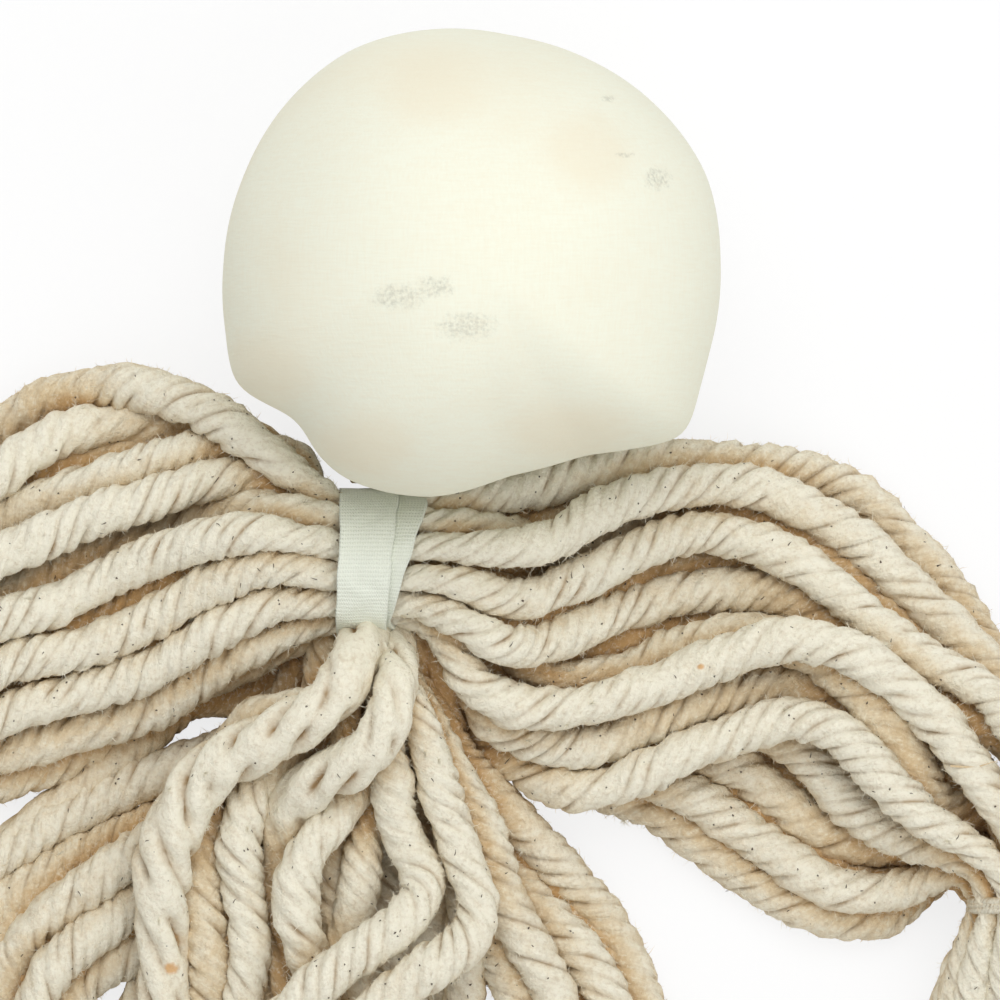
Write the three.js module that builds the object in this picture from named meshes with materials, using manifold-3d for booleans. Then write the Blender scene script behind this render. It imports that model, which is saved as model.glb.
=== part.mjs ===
// A yarn doll: a muslin ball head, two arms and a skirt of loose cotton mop yarn.
// The doll lies face down. X runs to its right arm as seen from behind, Y to the top of the head
// and Z up out of its back. The origin is on the flat underside of the tape. Millimetres.
import * as THREE from 'three';
import Module from 'manifold-3d';

// Main sizes: middle of the tape to each wrist, and the level of the skirt's longest ends
const RIGHT_REACH = 98.3;
const LEFT_REACH = 89.3;
const SKIRT_FOOT = -266;

// Yarn
const YARN_RADIUS = 3.0;
const TAPED_YARN_RADIUS = 2.05;
const WAIST_YARN_RADIUS = 1.85;
const WRIST_YARN_RADIUS = 1.6;
const TIE_END_RADIUS = 3.4;
const YARN_GAP = 0.45;
const BUNDLE_GAP = 0.9;
const YARN_SIDES = 8;
const SWELL_LENGTH = 16;
const WRIST_TAPER = 28;

// Head
const HEAD_HALF_HEIGHT = 37.4;
const HEAD_FLAT = 0.8;
const HEAD_CENTRE = new THREE.Vector3(13.7, 44.7, HEAD_HALF_HEIGHT - HEAD_FLAT);
const HEAD_RADII = [
  37.2, 37.3, 36.0, 34.7, 34.1, 35.0, 36.1, 36.2, 36.2,
  36.9, 38.2, 36.3, 37.5, 35.8, 32.6, 33.6, 39.6, 38.0,
];
const HEAD_LOWEST = THREE.MathUtils.degToRad(-78);
const HEAD_HIGHEST = THREE.MathUtils.degToRad(88);
const MUSLIN = 1.0;
const HEAD_MERIDIANS = 28;
const HEAD_PARALLELS = 12;
const FIT_GAP = 0.3;

// Neck
const NECK = new THREE.Vector3(1.5, 11.4, 12.5);
const NECK_RADIUS = 4.6;
const NECK_WALL = 1.2;
const NECK_REACH = 12;
const NECK_SIDES = 24;
const NECK_THREAD_RADIUS = 0.6;
const NECK_THREAD_SETBACK = 0.9;
const NECK_THREAD_SIDES = 6;

// Shoulder yarn inside the tape
const SHOULDER_Y = -0.5;
const SHOULDER_HALF_Y = 9.5;
const SHOULDER_HALF_Z = 12.3;
const TAPE_HALF_WIDTH = 6.6;
const TAPE_THICKNESS = 0.7;
const TAPE_FLAT = 0.3;
const SHOULDER_Z = SHOULDER_HALF_Z + 2 * (TAPE_THICKNESS + FIT_GAP) - TAPE_FLAT;
const UNDER_TAPE = [-3.0, 6.8];
const OVER_TAPE = [-6.8, 2.2];
const TAPE_SIDES = 40;

// Waist and its tie
const WAIST_X = -0.5;
const WAIST_Z = 13.2;
const WAIST_HALF_X = 5.6;
const WAIST_HALF_Z = 9.5;
const WAIST_LENGTH = 6.4;
const WAIST_SIDES = 28;
const TIE_RADIUS = 1.55;
const TIE_SPACING = 1.4;
const TIE_SIDES = 10;
const KNOT = new THREE.Vector3(-2.4, -14.6, 26.6);
const KNOT_HALF = new THREE.Vector3(4.2, 3.4, 2.6);
const KNOT_SIDES = 14;
const KNOT_ROWS = 8;
const TIE_END_PINCH = 0.85;
const SHOULDER_FOOT = SHOULDER_Y - SHOULDER_HALF_Y - 2 * (TAPE_THICKNESS + FIT_GAP);
const WAIST_TOP = SHOULDER_FOOT - FIT_GAP;
const WAIST_FOOT = WAIST_TOP - WAIST_LENGTH;
const SKIRT_TOP = WAIST_FOOT - YARN_GAP;

// Wrists: centre line and height, and where the tie sits
const RIGHT_WRIST = new THREE.Vector3(RIGHT_REACH, -52, 12);
const LEFT_WRIST = new THREE.Vector3(-LEFT_REACH, -48.5, 12);
const WRIST_HALF_WIDTH = 10;
const WRIST_HALF_HEIGHT = 9.7;
const WRIST_BAND = 4;
const WRIST_LEAD = 3;
const WRIST_TIE_THICKNESS = 1.5;
const WRIST_TIE_WIDTH = 3.4;
const WRIST_TIE_SIDES = 8;
const HOOP_STEPS = 24;
const OUTER_SEAT = 0.8;
const INNER_SEAT = 0.45;

// Hands
const HAND_LENGTH = 34;
const HAND_FLARE = 2.1;
const HAND_END_HALF_HEIGHT = 5.5;
const HAND_ROWS = [0, 0.2, 0.45, 0.75, 1];
const HAND_TOP_SHARE = 0.93;
const HAND_FALL = 0.7;

// Where a bundle lies on the ground it is cut flat
const FLAT_CUT = 0.4;
const BUNDLE_LOBES = 11;
const LOBE_DEPTH = 0.09;

const COTTON = { color: 0xd9ceb6, roughness: 0.95, metalness: 0 };
const SHADED_COTTON = { color: 0xc4b594, roughness: 0.95, metalness: 0 };
const MUSLIN_CLOTH = { color: 0xe0e0cc, roughness: 0.9, metalness: 0 };
const TAPE_CLOTH = { color: 0xdfe6e2, roughness: 0.85, metalness: 0 };
const WADDING = { color: 0xf0eee6, roughness: 1, metalness: 0 };

const wasm = await Module();
wasm.setup();

const doll = new THREE.Group();

// The routes below are listed for these ends; another reach or foot stretches what lies between.
const ARM_START = 7.3;
const LISTED_RIGHT_REACH = 98.3;
const LISTED_LEFT_REACH = 89.3;
const SKIRT_KNEE = -75;
const LISTED_FOOT = -266;

// Yarns of the right arm, listed from the head side down. Each starts at the tape and runs to
// the wrist, where its seat is an angle on the outer or inner ring. It stays thin for its bound
// length, where the other yarns press on it.
const RIGHT_YARNS = [
  { seat: [OUTER_SEAT, 5], bound: 0, route: [
    [ARM_START, 8.4, 17.6], [10.3, 9, 17.4], [16, 9.2, 18.4], [25, 11.2, 19], [33, 13.6, 18], [40, 15, 17],
    [50, 16, 14], [60, 14.9, 12], [70, 12.7, 10], [76, 8, 9], [79.5, 3, 9], [85, -4, 8.5],
    [91, -16, 8.5], [96.5, -30, 10], [103, -42, 12]] },
  { seat: [INNER_SEAT, -2], bound: 0, route: [
    [ARM_START, 5.6, 21.2], [10.3, 6, 21], [15, 4.6, 20.5], [19.5, 3.2, 18], [24.5, 1.8, 14],
    [31.5, 2.2, 11.5], [39, 5.2, 10.5], [46.5, 7, 10], [55, 6.3, 9.8], [61.5, 3, 9.7],
    [67, -1, 9.7], [72, -6, 9.7], [77, -12, 9.5], [82.5, -18, 9.5], [89, -27, 10], [96, -39, 11]] },
  { seat: [OUTER_SEAT, 33], bound: 0, route: [
    [ARM_START, 1.7, 23.5], [10.3, 2.2, 24], [17, 1, 25.5], [23, 1.3, 25.5], [28, 4, 24.5],
    [32, 7, 23.5], [38, 9.8, 21.5], [46, 11.7, 19], [55, 11.8, 17], [62, 9.2, 16], [67, 6, 15.5],
    [72, 3, 15], [76, -1, 14.5], [79.5, -4.5, 14.5], [84, -9.5, 14], [89, -16, 14],
    [95, -26, 14], [101, -40, 15]] },
  { seat: [OUTER_SEAT, 61], bound: 0, route: [
    [ARM_START, -2.8, 23.2], [10.3, -2.6, 24.2], [13, -3, 24.5], [16.5, -5.8, 24.5], [20, -7.2, 24],
    [24.5, -5.5, 23], [30, -2.8, 21.5], [37, 0.8, 19.5], [45, 3.8, 17.5], [51, 4.5, 16],
    [57, 2.8, 15.5], [63, -0.3, 15], [69, -5.3, 15], [74.5, -11, 15], [80.5, -16.8, 14.5],
    [87, -22, 14], [92.5, -30, 14.5], [98, -41, 17]] },
  { seat: [INNER_SEAT, 47], bound: 0, route: [
    [ARM_START, -6.6, 20.8], [9.9, -8.4, 21.8], [14.3, -12.4, 21.5], [19.3, -14.6, 20], [25, -13, 18],
    [31, -9.8, 15.5], [38, -7, 12.5], [45, -5.5, 10.5], [52, -4.6, 10], [58, -5, 9.7],
    [64, -8, 9.7], [70, -13, 9.7], [76, -20, 9.7], [83, -29, 9.7], [92, -40, 12]] },
  { seat: [OUTER_SEAT, 89], bound: 0, route: [
    [ARM_START, -8.6, 16.8], [9.9, -11.6, 18.4], [11, -15.5, 21], [13.5, -19, 21], [17.5, -21.5, 21],
    [22.5, -22.6, 20.5], [28, -22.7, 19.5], [35, -21, 18], [43, -18.3, 16.5], [51, -15, 15.5],
    [59, -12.2, 15.5], [66, -12.2, 15.5], [73, -15.8, 15.5], [80, -20.5, 15.5], [86, -26, 15.5],
    [91, -33, 16], [95.5, -42, 18]] },
  { seat: [INNER_SEAT, 92], bound: 26, route: [
    [ARM_START, -4.2, 16.8], [10.3, -5.8, 16.4], [15, -10, 14.8], [20, -15.5, 14.4], [27, -18, 14.2],
    [36, -16.4, 12.5], [42, -14.3, 11], [48, -12, 10.5], [55, -10.5, 10], [62, -12, 9.7],
    [69, -17.5, 9.7], [76, -26, 9.7], [84, -35.5, 10], [93, -43, 13]] },
  { seat: [INNER_SEAT, 135], bound: 6, route: [
    [ARM_START, -9.4, 12.4], [10.4, -11.5, 13], [11.9, -16.5, 14], [13, -21.5, 14.5], [16, -25, 14],
    [20, -27.2, 13.5], [24.5, -28.9, 12.5], [29.5, -29.4, 12], [34, -28, 11], [39, -25.7, 10],
    [45.5, -24, 9.7], [51, -21.9, 9.7], [56, -19.8, 9.7], [61.5, -18.3, 9.7], [67, -18.9, 9.7],
    [72, -21.5, 9.7], [77, -26, 9.7], [83, -33, 10], [90, -42, 13]] },
  { seat: [OUTER_SEAT, 117], bound: 12, route: [
    [ARM_START, -8.4, 8.1], [10.5, -11, 8], [12.4, -16.5, 7.6], [12.9, -21.5, 8], [14, -26, 10],
    [17, -29, 12.5], [21, -31.6, 14], [25.2, -33.6, 15], [30.5, -34.7, 15], [35.7, -33.5, 15],
    [41, -30.3, 15.5], [46.5, -27.3, 16], [54.5, -25, 16], [60, -23, 15.5], [65, -22.7, 15.5],
    [70.2, -24.3, 15.5], [75.5, -28.5, 15.5], [80.7, -34.5, 15.5], [86, -40, 16], [91, -45, 18]] },
  { seat: [INNER_SEAT, 180], bound: 40, route: [
    [ARM_START, -5, 12.4], [10.4, -7, 11.6], [15, -12.8, 10.6], [20, -19, 10.8], [24, -22.3, 10.5],
    [30, -24.8, 8], [37, -27.8, 5], [46, -29.3, 7], [52, -29.8, 7], [56, -32, 6], [60, -35.8, 4.5],
    [65.3, -40.3, 4], [72, -43.4, 4], [79, -45.5, 4.5], [86, -46.5, 6], [91, -47.4, 9]] },
  { seat: [OUTER_SEAT, 145], bound: 46, route: [
    [ARM_START, 0.2, 17.6], [10.3, -1.4, 17.4], [15, -5.4, 16.2], [20, -9.8, 13.8], [27, -15, 10.6],
    [38, -20, 9.7], [48, -24, 9.7], [57, -25.2, 9.7], [62.5, -27.4, 9.7], [66.3, -32, 9.7],
    [69.8, -36.5, 9.5], [74.3, -40.4, 9.5], [78.8, -43, 9.5], [84, -44.8, 10], [88.5, -46, 13]] },
  { seat: [OUTER_SEAT, 173], bound: 34, route: [
    [ARM_START, -0.5, 13.1], [10.3, -2.6, 12.6], [15, -8.2, 9.6], [20, -15.6, 6.6], [24, -22.5, 6.3],
    [29, -29, 7], [35, -33, 9], [42, -33.6, 8.5], [48.6, -36.6, 8.5], [52.8, -39.7, 8.5],
    [57, -42.8, 8.5], [62, -46.4, 9], [68, -49.6, 9], [73.5, -50.6, 9], [78.8, -49.6, 9],
    [83.3, -48, 9.5], [86.8, -46.5, 11]] },
  { seat: [OUTER_SEAT, 201], bound: 30, route: [
    [ARM_START, -4.1, 8], [10.3, -6.4, 7], [15, -12.7, 5.4], [19, -20, 4.2], [24, -27.5, 3.6],
    [30, -32.8, 3.4], [36, -34.7, 3.4], [41.3, -35.6, 3.3], [45, -39.3, 3.3], [49, -42.8, 3.3],
    [54.8, -47, 3.3], [61.5, -50.8, 3.3], [67.5, -54, 3.3], [73.5, -54.8, 3.3],
    [78.8, -52.8, 4], [83, -50, 5], [86, -48, 7]] },
];

// Yarns of the left arm, in the same order.
const LEFT_YARNS = [
  { seat: [OUTER_SEAT, 176], bound: 0, route: [
    [-ARM_START, 8.4, 17.6], [-10.3, 11.2, 18.6], [-16.8, 14.6, 19.2], [-21, 18.1, 17], [-26, 20.9, 15],
    [-33, 23.9, 12], [-38.5, 25.4, 9], [-47, 26, 6], [-52, 25.2, 5], [-57, 22.1, 5],
    [-64, 16, 5], [-71, 8, 5], [-78, -4, 5.5], [-84.5, -18, 7], [-90, -31, 9], [-96, -40, 11]] },
  { seat: [OUTER_SEAT, 148], bound: 18, route: [
    [-ARM_START, 2.6, 12.8], [-10.3, 6.2, 9], [-13.5, 11, 7], [-17, 15, 6], [-22, 18.3, 7],
    [-28, 19.6, 9], [-34.5, 21, 10], [-40.5, 22.1, 11], [-45.8, 21.6, 11], [-50.3, 19.3, 10.5],
    [-55, 15.6, 10.5], [-61, 10, 10.5], [-67, 2.5, 10], [-73.5, -8, 10], [-80, -21, 11],
    [-89, -36, 13]] },
  { seat: [INNER_SEAT, 170], bound: 20, route: [
    [-ARM_START, -1.8, 13.2], [-10.3, 0.8, 13.8], [-13.5, 6, 11], [-17, 9.8, 9.8], [-22, 14, 9],
    [-27.5, 16.7, 8.5], [-34.5, 17.6, 8.5], [-40.5, 17.2, 8.5], [-46.5, 15.8, 8.5],
    [-52, 13.7, 8], [-57, 11.2, 8], [-64, 5, 7.5], [-71, -5, 7], [-78, -18, 7.5], [-87, -34, 9]] },
  { seat: [INNER_SEAT, 120], bound: 10, route: [
    [-ARM_START, 6.9, 13.3], [-10.3, 10.2, 13.2], [-13.5, 12.8, 11.2], [-17, 15.6, 10.8],
    [-21, 16.4, 11.5], [-26, 16.2, 12], [-32.5, 14.7, 12.5], [-41, 12.8, 12], [-48.3, 10.5, 11],
    [-55, 8.6, 10.5], [-61.5, 5.3, 10], [-68, -1, 9.7], [-74, -10, 9.7], [-79, -21, 9.7],
    [-85, -35, 11]] },
  { seat: [OUTER_SEAT, 120], bound: 8, route: [
    [-ARM_START, 3.6, 17.2], [-10.3, 6, 16.8], [-13.5, 10.8, 14.6], [-17.3, 13, 14.6], [-22, 12.9, 16],
    [-27.3, 11.7, 17.5], [-33, 9.8, 17.5], [-39.5, 8, 17], [-46.5, 5.1, 16], [-53.5, 2, 15.5],
    [-58.5, -0.3, 15], [-65, -5, 15], [-71, -11, 14.5], [-77, -19.5, 14], [-83, -31, 15],
    [-88, -40, 17]] },
  { seat: [INNER_SEAT, 70], bound: 0, route: [
    [-ARM_START, 5.6, 21.2], [-10.3, 7.4, 21.3], [-14, 9.2, 21], [-18.5, 9.8, 19], [-23.3, 8.6, 13],
    [-30, 6, 10.5], [-36, 3.8, 9.7], [-39.5, 3, 9.7], [-46.5, -0.5, 9.7], [-53.5, -4.5, 9.7],
    [-57, -6.3, 9.7], [-64, -11, 9.7], [-71, -18, 9.7], [-78, -28, 10], [-84, -39, 12]] },
  { seat: [OUTER_SEAT, 92], bound: 0, route: [
    [-ARM_START, 1.7, 23.5], [-10.3, 3.3, 24], [-14, 4.6, 24], [-18.5, 5, 23.5], [-25.5, 3.5, 21.5],
    [-31, 1.5, 19.5], [-36, -0.5, 17.5], [-41.3, -3.3, 16.3], [-48.3, -7.7, 15.3],
    [-55, -9.8, 15.3], [-61.5, -12.8, 15], [-68, -18, 15], [-75, -26, 15], [-83, -37, 17]] },
  { seat: [OUTER_SEAT, 64], bound: 0, route: [
    [-ARM_START, -2.8, 23.2], [-10.3, -1.6, 24], [-13.5, -0.4, 24.2], [-17.7, -0.4, 24],
    [-23.7, -2.7, 22.5], [-28.5, -5.3, 21], [-32.5, -7.8, 19.5], [-39.5, -11.6, 17.5],
    [-48.3, -13.5, 16.5], [-55, -13.9, 16], [-61.5, -16, 15.5], [-67.5, -20.5, 15.5],
    [-74, -28, 15.5], [-81, -39, 17]] },
  { seat: [OUTER_SEAT, 36], bound: 0, route: [
    [-ARM_START, -6.6, 20.8], [-10.3, -5.8, 21.5], [-13.5, -5.8, 22], [-16.8, -6.8, 21.5],
    [-23.7, -10.5, 20], [-30.8, -15, 18], [-37.8, -18, 16.5], [-48.3, -20.6, 15.8],
    [-55.2, -22.5, 15.5], [-61.5, -24.8, 15.5], [-68, -29, 15.5], [-76, -38, 16]] },
  { seat: [INNER_SEAT, 20], bound: 4, route: [
    [-ARM_START, -8.6, 16.8], [-10.2, -10, 17], [-14, -11.5, 16.5], [-19.5, -13.6, 15],
    [-27.3, -18, 12.5], [-34.2, -23, 11], [-41.3, -24.8, 10], [-48.3, -27.5, 9.7],
    [-55.2, -29.3, 9.7], [-61.5, -31.2, 9.7], [-68, -34, 9.7], [-77, -40, 11]] },
  { seat: [OUTER_SEAT, 8], bound: 26, route: [
    [-ARM_START, -9.4, 12.4], [-10.3, -10.8, 11.5], [-16.5, -14.4, 9.5], [-24.8, -18.6, 6.5],
    [-32.3, -22.8, 4.5], [-38.3, -26.8, 4], [-43.5, -30.3, 4], [-49.5, -32.5, 4],
    [-57, -34, 4], [-64, -36, 4.5], [-70, -38.5, 6], [-77, -41.5, 9]] },
  { seat: [OUTER_SEAT, -20], bound: 18, route: [
    [-ARM_START, -8.4, 8.1], [-10.5, -11.5, 7], [-13, -17.5, 6.5], [-17, -23.5, 4.5],
    [-22, -28, 3.5], [-28.5, -31.3, 3.3], [-33, -31.6, 3.3], [-38.3, -32.7, 3.3],
    [-43, -35, 3.3], [-47.3, -37.9, 3.3], [-51.3, -40.9, 3.3], [-55.5, -44.6, 3.3],
    [-59.3, -47.8, 3.3], [-64, -50.2, 3.3], [-70, -50.7, 4], [-75.5, -48, 5.5], [-79, -45, 8]] },
];

// Yarns of the skirt, from the left, each from the waist to its own cut end. A point without a
// height starts at REST_HEIGHT.
const REST_HEIGHT = 10;
const SKIRT_YARNS = [
  { bound: 20, route: [
    [-7.1, SKIRT_TOP, 9.9], [-9, -22, 9.5], [-17, -28.5, 6.5], [-27, -35.5, 4], [-36, -41, 4],
    [-41.5, -43.8, 3.5], [-46.5, -46.2, 3.3], [-51.8, -48.5, 3.3], [-57, -52, 3.3],
    [-60.5, -58, 3.3], [-62.5, -66, 3.3], [-63.5, -78, 3.3], [-64, -98, 3.3], [-68, -135, 3.3],
    [-72, -175, 3.3], [-77, -215, 3.3], [-82, -258, 3.3]] },
  { bound: 24, route: [
    [-7.4, SKIRT_TOP, 13.8], [-9, -22.5, 13.5], [-15, -30, 10.5], [-24, -37.5, 7.5], [-33, -42.5, 7],
    [-41.3, -46.8, 7], [-46.5, -50.3, 7], [-51.8, -53.7, 6], [-56.5, -57.3, 5], [-57.6, -64, 4],
    [-57.5, -74, 3.3], [-57.5, -92, 3.3], [-60, -125, 3.3], [-64, -165, 3.3], [-68, -210, 3.3],
    [-71, -262, 3.3]] },
  { bound: 24, route: [
    [-3.1, SKIRT_TOP, 13.8], [-5, -23, 13.5], [-13, -32.5, 11], [-24, -41, 8], [-35.3, -50.3, 8],
    [-43, -54.8, 8.5], [-50, -59, 7.5], [-53.5, -63.5, 6.5], [-54, -72, 6.5], [-53, -86, 6.5],
    [-53, -110, 6.5], [-55.5, -145, 5], [-60, -190, 4], [-63, -235, 3.3], [-64, -266, 3.3]] },
  { bound: 28, route: [
    [-2.8, SKIRT_TOP, 9.9], [-4.5, -24, 10], [-11, -34.5, 9.7], [-21, -46, 8], [-30, -55, 6],
    [-36, -58.7, 5], [-43, -61.1, 4.5], [-48, -66.5, 4], [-49, -74, 3.3], [-48, -88, 3.3],
    [-48, -112], [-48, -155], [-49, -200], [-51, -245], [-52, -258]] },
  { bound: 0, route: [
    [-6.6, SKIRT_TOP, 17.7], [-9.5, -22, 19.5], [-14, -22.5, 18.5], [-18.5, -23, 15], [-22, -28, 12],
    [-26, -36, 10], [-28, -46, 9], [-26, -58], [-25, -75], [-27, -100], [-33, -140],
    [-37, -185], [-41, -230], [-42, -262]] },
  { bound: 10, route: [
    [-2.3, SKIRT_TOP, 17.7], [-4, -23, 17.5], [-9.5, -28, 15.5], [-15, -30.5, 15], [-19.5, -34, 15.5],
    [-22.2, -38, 15.5], [-22.7, -43.2, 15], [-21.3, -47.5, 14.5], [-20, -54, 14],
    [-19.2, -61, 13], [-18.9, -67, 12.5], [-19.5, -85], [-22, -115], [-26, -155], [-28, -200],
    [-30, -250], [-30, -266]] },
  { bound: 6, route: [
    [-4.5, SKIRT_TOP, 21.6], [-3.4, -21.8, 23], [-4.4, -24.5, 21.5], [-7, -28, 18.5],
    [-9.5, -31.5, 15], [-10, -36.5, 11.5], [-8.7, -43, 10.5], [-7.8, -49, 10], [-7.2, -55, 10],
    [-6.8, -62, 10], [-6.5, -70, 10], [-8, -90], [-12, -125], [-14, -165], [-18, -210],
    [-18, -255]] },
  { bound: 10, route: [
    [1.9, SKIRT_TOP, 17.7], [0.5, -23, 18], [-1.5, -28, 17], [-4.2, -33.5, 16.5],
    [-8.3, -37.2, 17], [-13, -42.3, 17], [-14.3, -47.5, 16.5], [-13.5, -52.8, 16],
    [-12, -57.5, 13], [-11.3, -62.3, 11], [-11, -70, 10], [-12, -88], [-16, -120],
    [-20, -165], [-24, -210], [-24, -262]] },
  { bound: 0, route: [
    [-0.3, SKIRT_TOP, 21.6], [2.5, -23, 22], [3.3, -28, 20], [2, -33.8, 19], [2.3, -38.3, 18.5],
    [3.8, -42.8, 18.5], [6.8, -46.2, 19], [8.3, -49.5, 20], [5.7, -52.8, 21], [0.8, -56.3, 21],
    [-5.3, -60.3, 20], [-10, -64.2, 18.5], [-13.5, -67.5, 17], [-20, -77, 14], [-24, -92, 12],
    [-25, -118], [-27, -155], [-33, -200], [-35, -248]] },
  { bound: 0, route: [
    [3.7, SKIRT_TOP, 21.6], [6.5, -23, 21.5], [7.4, -28, 20], [9, -33.5, 19.5], [10.5, -38.5, 19],
    [12, -43.5, 19], [13.8, -47.8, 20], [15.5, -52, 21], [14.6, -56.5, 21.5],
    [10.8, -59.3, 21.5], [6, -61.8, 21], [1.8, -64.8, 19.5], [-2.3, -67.8, 18], [-8, -76, 14.5],
    [-11, -92, 12], [-12, -118], [-10, -155], [-8, -200], [-11, -258]] },
  { bound: 8, route: [
    [6, SKIRT_TOP, 17.7], [8, -23.5, 16.5], [10.5, -28.5, 15], [12.5, -34, 15], [15, -38.7, 16],
    [16.5, -43.2, 16.5], [17, -48.5, 16], [18.2, -52.2, 15.5], [20.3, -55.8, 15],
    [22.5, -59.7, 14.5], [24.8, -63.8, 14], [27, -67.5, 13.5], [29, -78, 12], [30, -100],
    [34, -140], [38, -185], [40, -230], [41, -262]] },
  { bound: 28, route: [
    [1.3, SKIRT_TOP, 13.8], [4, -24, 12.5], [8.5, -34, 10.5], [12, -44, 10], [15.5, -53, 10],
    [18.8, -60.8, 10], [21.3, -66.5, 10], [22.5, -78], [22, -105], [24, -145], [23, -190],
    [25, -235], [24, -256]] },
  { bound: 12, route: [
    [5.5, SKIRT_TOP, 9.9], [8, -24, 9.7], [12.5, -33, 9.7], [17, -41, 10], [20.5, -47, 10.5],
    [25, -52.2, 11], [29.5, -55.8, 11], [32.4, -60, 10.5], [34.8, -64.5, 10], [37, -72, 9],
    [38, -88, 6], [41, -120, 4], [46, -165, 3.3], [52, -210, 3.3], [56, -262, 3.3]] },
  { bound: 8, route: [
    [5.9, SKIRT_TOP, 13.8], [9, -23, 13.5], [11, -28, 11], [13, -32.5, 9], [16.5, -36.6, 8],
    [21.2, -42.4, 7], [26, -46.9, 6], [31.3, -53.1, 4.5], [34.9, -57.8, 4], [38.9, -66.9, 3.5],
    [44, -80, 3.3], [49, -100, 3.3], [57, -140, 3.3], [66, -185, 3.3], [73, -225, 3.3],
    [77, -256, 3.3]] },
];

// Free ends of the waist tie.
const LEFT_END = { bound: 0, route: [
  [-5.5, SKIRT_TOP, 26.6], [-7.8, -21.4, 26.6], [-11.7, -23.7, 25], [-17.3, -27, 22.5],
  [-22.5, -29.8, 20], [-27.5, -34, 17.5], [-30, -40.5, 16], [-31, -46.5, 15], [-31.2, -54, 14],
  [-31, -61, 13], [-30.6, -66.5, 12.5], [-31, -80, 12], [-34, -105], [-37, -135], [-38, -165],
  [-40, -196],
] };
const RIGHT_END = { bound: 0, route: [
  [2.2, SKIRT_TOP, 26.2], [2, -22, 26.2], [1.2, -26, 25], [-1.2, -29.3, 23], [-5, -31.8, 21],
  [-9, -34.5, 17], [-11, -41, 12], [-12.5, -50, 10], [-13, -60, 10], [-14, -75, 10],
] };

// Bundles of the yarns that lie under the others: x, y, half width, height and, where a tie
// passes beneath, the height of the underside.
const RIGHT_BUNDLE = stretchArm([
  [7.4, 4.6, 4.6, 10.6], [11.6, 4.6, 4.7, 9.6], [16, 2, 6.3, 8.4], [24, -4, 10, 7.2],
  [36, -8, 15, 6.5], [50, -9.5, 18, 6.5],
  [63, -14, 19, 6.5], [75, -22, 16.5, 6.5], [86, -33, 10.5, 6.5], [93, -41, 6.3, 7],
  [98.3, -48, 5.2, 6, 2.3], [98.3, -53.9, 5.2, 6, 2.3],
], RIGHT_WRIST);
const LEFT_BUNDLE = stretchArm([
  [-7.4, -0.5, 6, 9], [-9.6, -0.5, 6.2, 8.8], [-14, 1.5, 8.5, 8], [-24, 3, 12, 7], [-36, 2, 15, 6.5],
  [-48, -3, 17, 6.5], [-60, -8, 17, 6.5], [-70, -17, 15, 6.5], [-79, -29, 11.5, 6.5],
  [-85, -38.5, 8, 7], [-89.3, -44.5, 5.2, 6, 2.3], [-89.3, -50.4, 5.2, 6, 2.3],
], LEFT_WRIST);
const SKIRT_BUNDLE = stretchSkirt([
  [-0.5, SKIRT_TOP, 6, 7.2], [0, -26, 7.5, 6.8], [-1, -36, 12, 6.5], [-3, -46, 19, 6.5],
  [-5, -58, 25, 6.5], [-6, -72, 31, 6.5], [-5, -95, 37, 6.5], [-5, -140, 43, 6.5],
  [-5, -190, 48, 6.5], [-5, -258, 54, 6.5],
]);

// Settling of the yarns on one another
const SINKING_ROUNDS = 150;
const CLEARING_ROUNDS = 330;
const ROUNDS_PER_SEARCH = 8;
const SEARCH_MARGIN = 4;
const SINK = 0.05;
const HOLD = 0.06;
const SPREAD = 0.35;
const PUSHED_SHARES = [0.25, 0.5, 0.75];
const FLOOR_GAP = 0.1;
const HEAD_GAP = 0.5;
const HEAD_FOOT_SLOPE = 0.2;
const PUSH_SHARE = 0.5;
const LARGEST_PUSH = 1.5;
const PARTING_SHARE = 0.9;

function addMesh(name, geometry, finish) {
  const mesh = new THREE.Mesh(geometry, new THREE.MeshStandardMaterial(finish));
  mesh.name = name;
  doll.add(mesh);
  return mesh;
}

// A closed skin over rings of equal count, with a fan at each end.
function skin(rings) {
  const count = rings[0].length;
  const positions = rings.flat().flatMap((point) => [point.x, point.y, point.z]);
  const index = [];
  for (let row = 0; row + 1 < rings.length; row += 1) {
    for (let i = 0; i < count; i += 1) {
      const next = (i + 1) % count;
      const a = row * count + i;
      const b = row * count + next;
      index.push(a, b, a + count, b, b + count, a + count);
    }
  }
  const last = (rings.length - 1) * count;
  for (let i = 1; i + 1 < count; i += 1) {
    index.push(0, i + 1, i);
    index.push(last, last + i, last + i + 1);
  }
  const geometry = new THREE.BufferGeometry();
  geometry.setAttribute('position', new THREE.Float32BufferAttribute(positions, 3));
  geometry.setIndex(index);
  geometry.computeVertexNormals();
  return geometry;
}

function toSolid(geometry) {
  return new wasm.Manifold(new wasm.Mesh({
    numProp: 3,
    vertProperties: new Float32Array(geometry.attributes.position.array),
    triVerts: new Uint32Array(geometry.index.array),
  }));
}

function toGeometry(solid) {
  const mesh = solid.getMesh();
  const geometry = new THREE.BufferGeometry();
  geometry.setAttribute('position', new THREE.Float32BufferAttribute(mesh.vertProperties, 3));
  geometry.setIndex(Array.from(mesh.triVerts));
  geometry.computeVertexNormals();
  return geometry;
}

// Moves a value that lies past a start in proportion as the listed end moves to the wanted end.
function stretch(value, start, listed, wanted) {
  if ((value - start) * (listed - start) <= 0) return value;
  return start + ((value - start) * (wanted - start)) / (listed - start);
}

function stretchArm(rows, wrist) {
  const side = Math.sign(wrist.x);
  const listed = side > 0 ? LISTED_RIGHT_REACH : -LISTED_LEFT_REACH;
  return rows.map(([x, ...rest]) => [stretch(x, side * ARM_START, listed, wrist.x), ...rest]);
}

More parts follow.
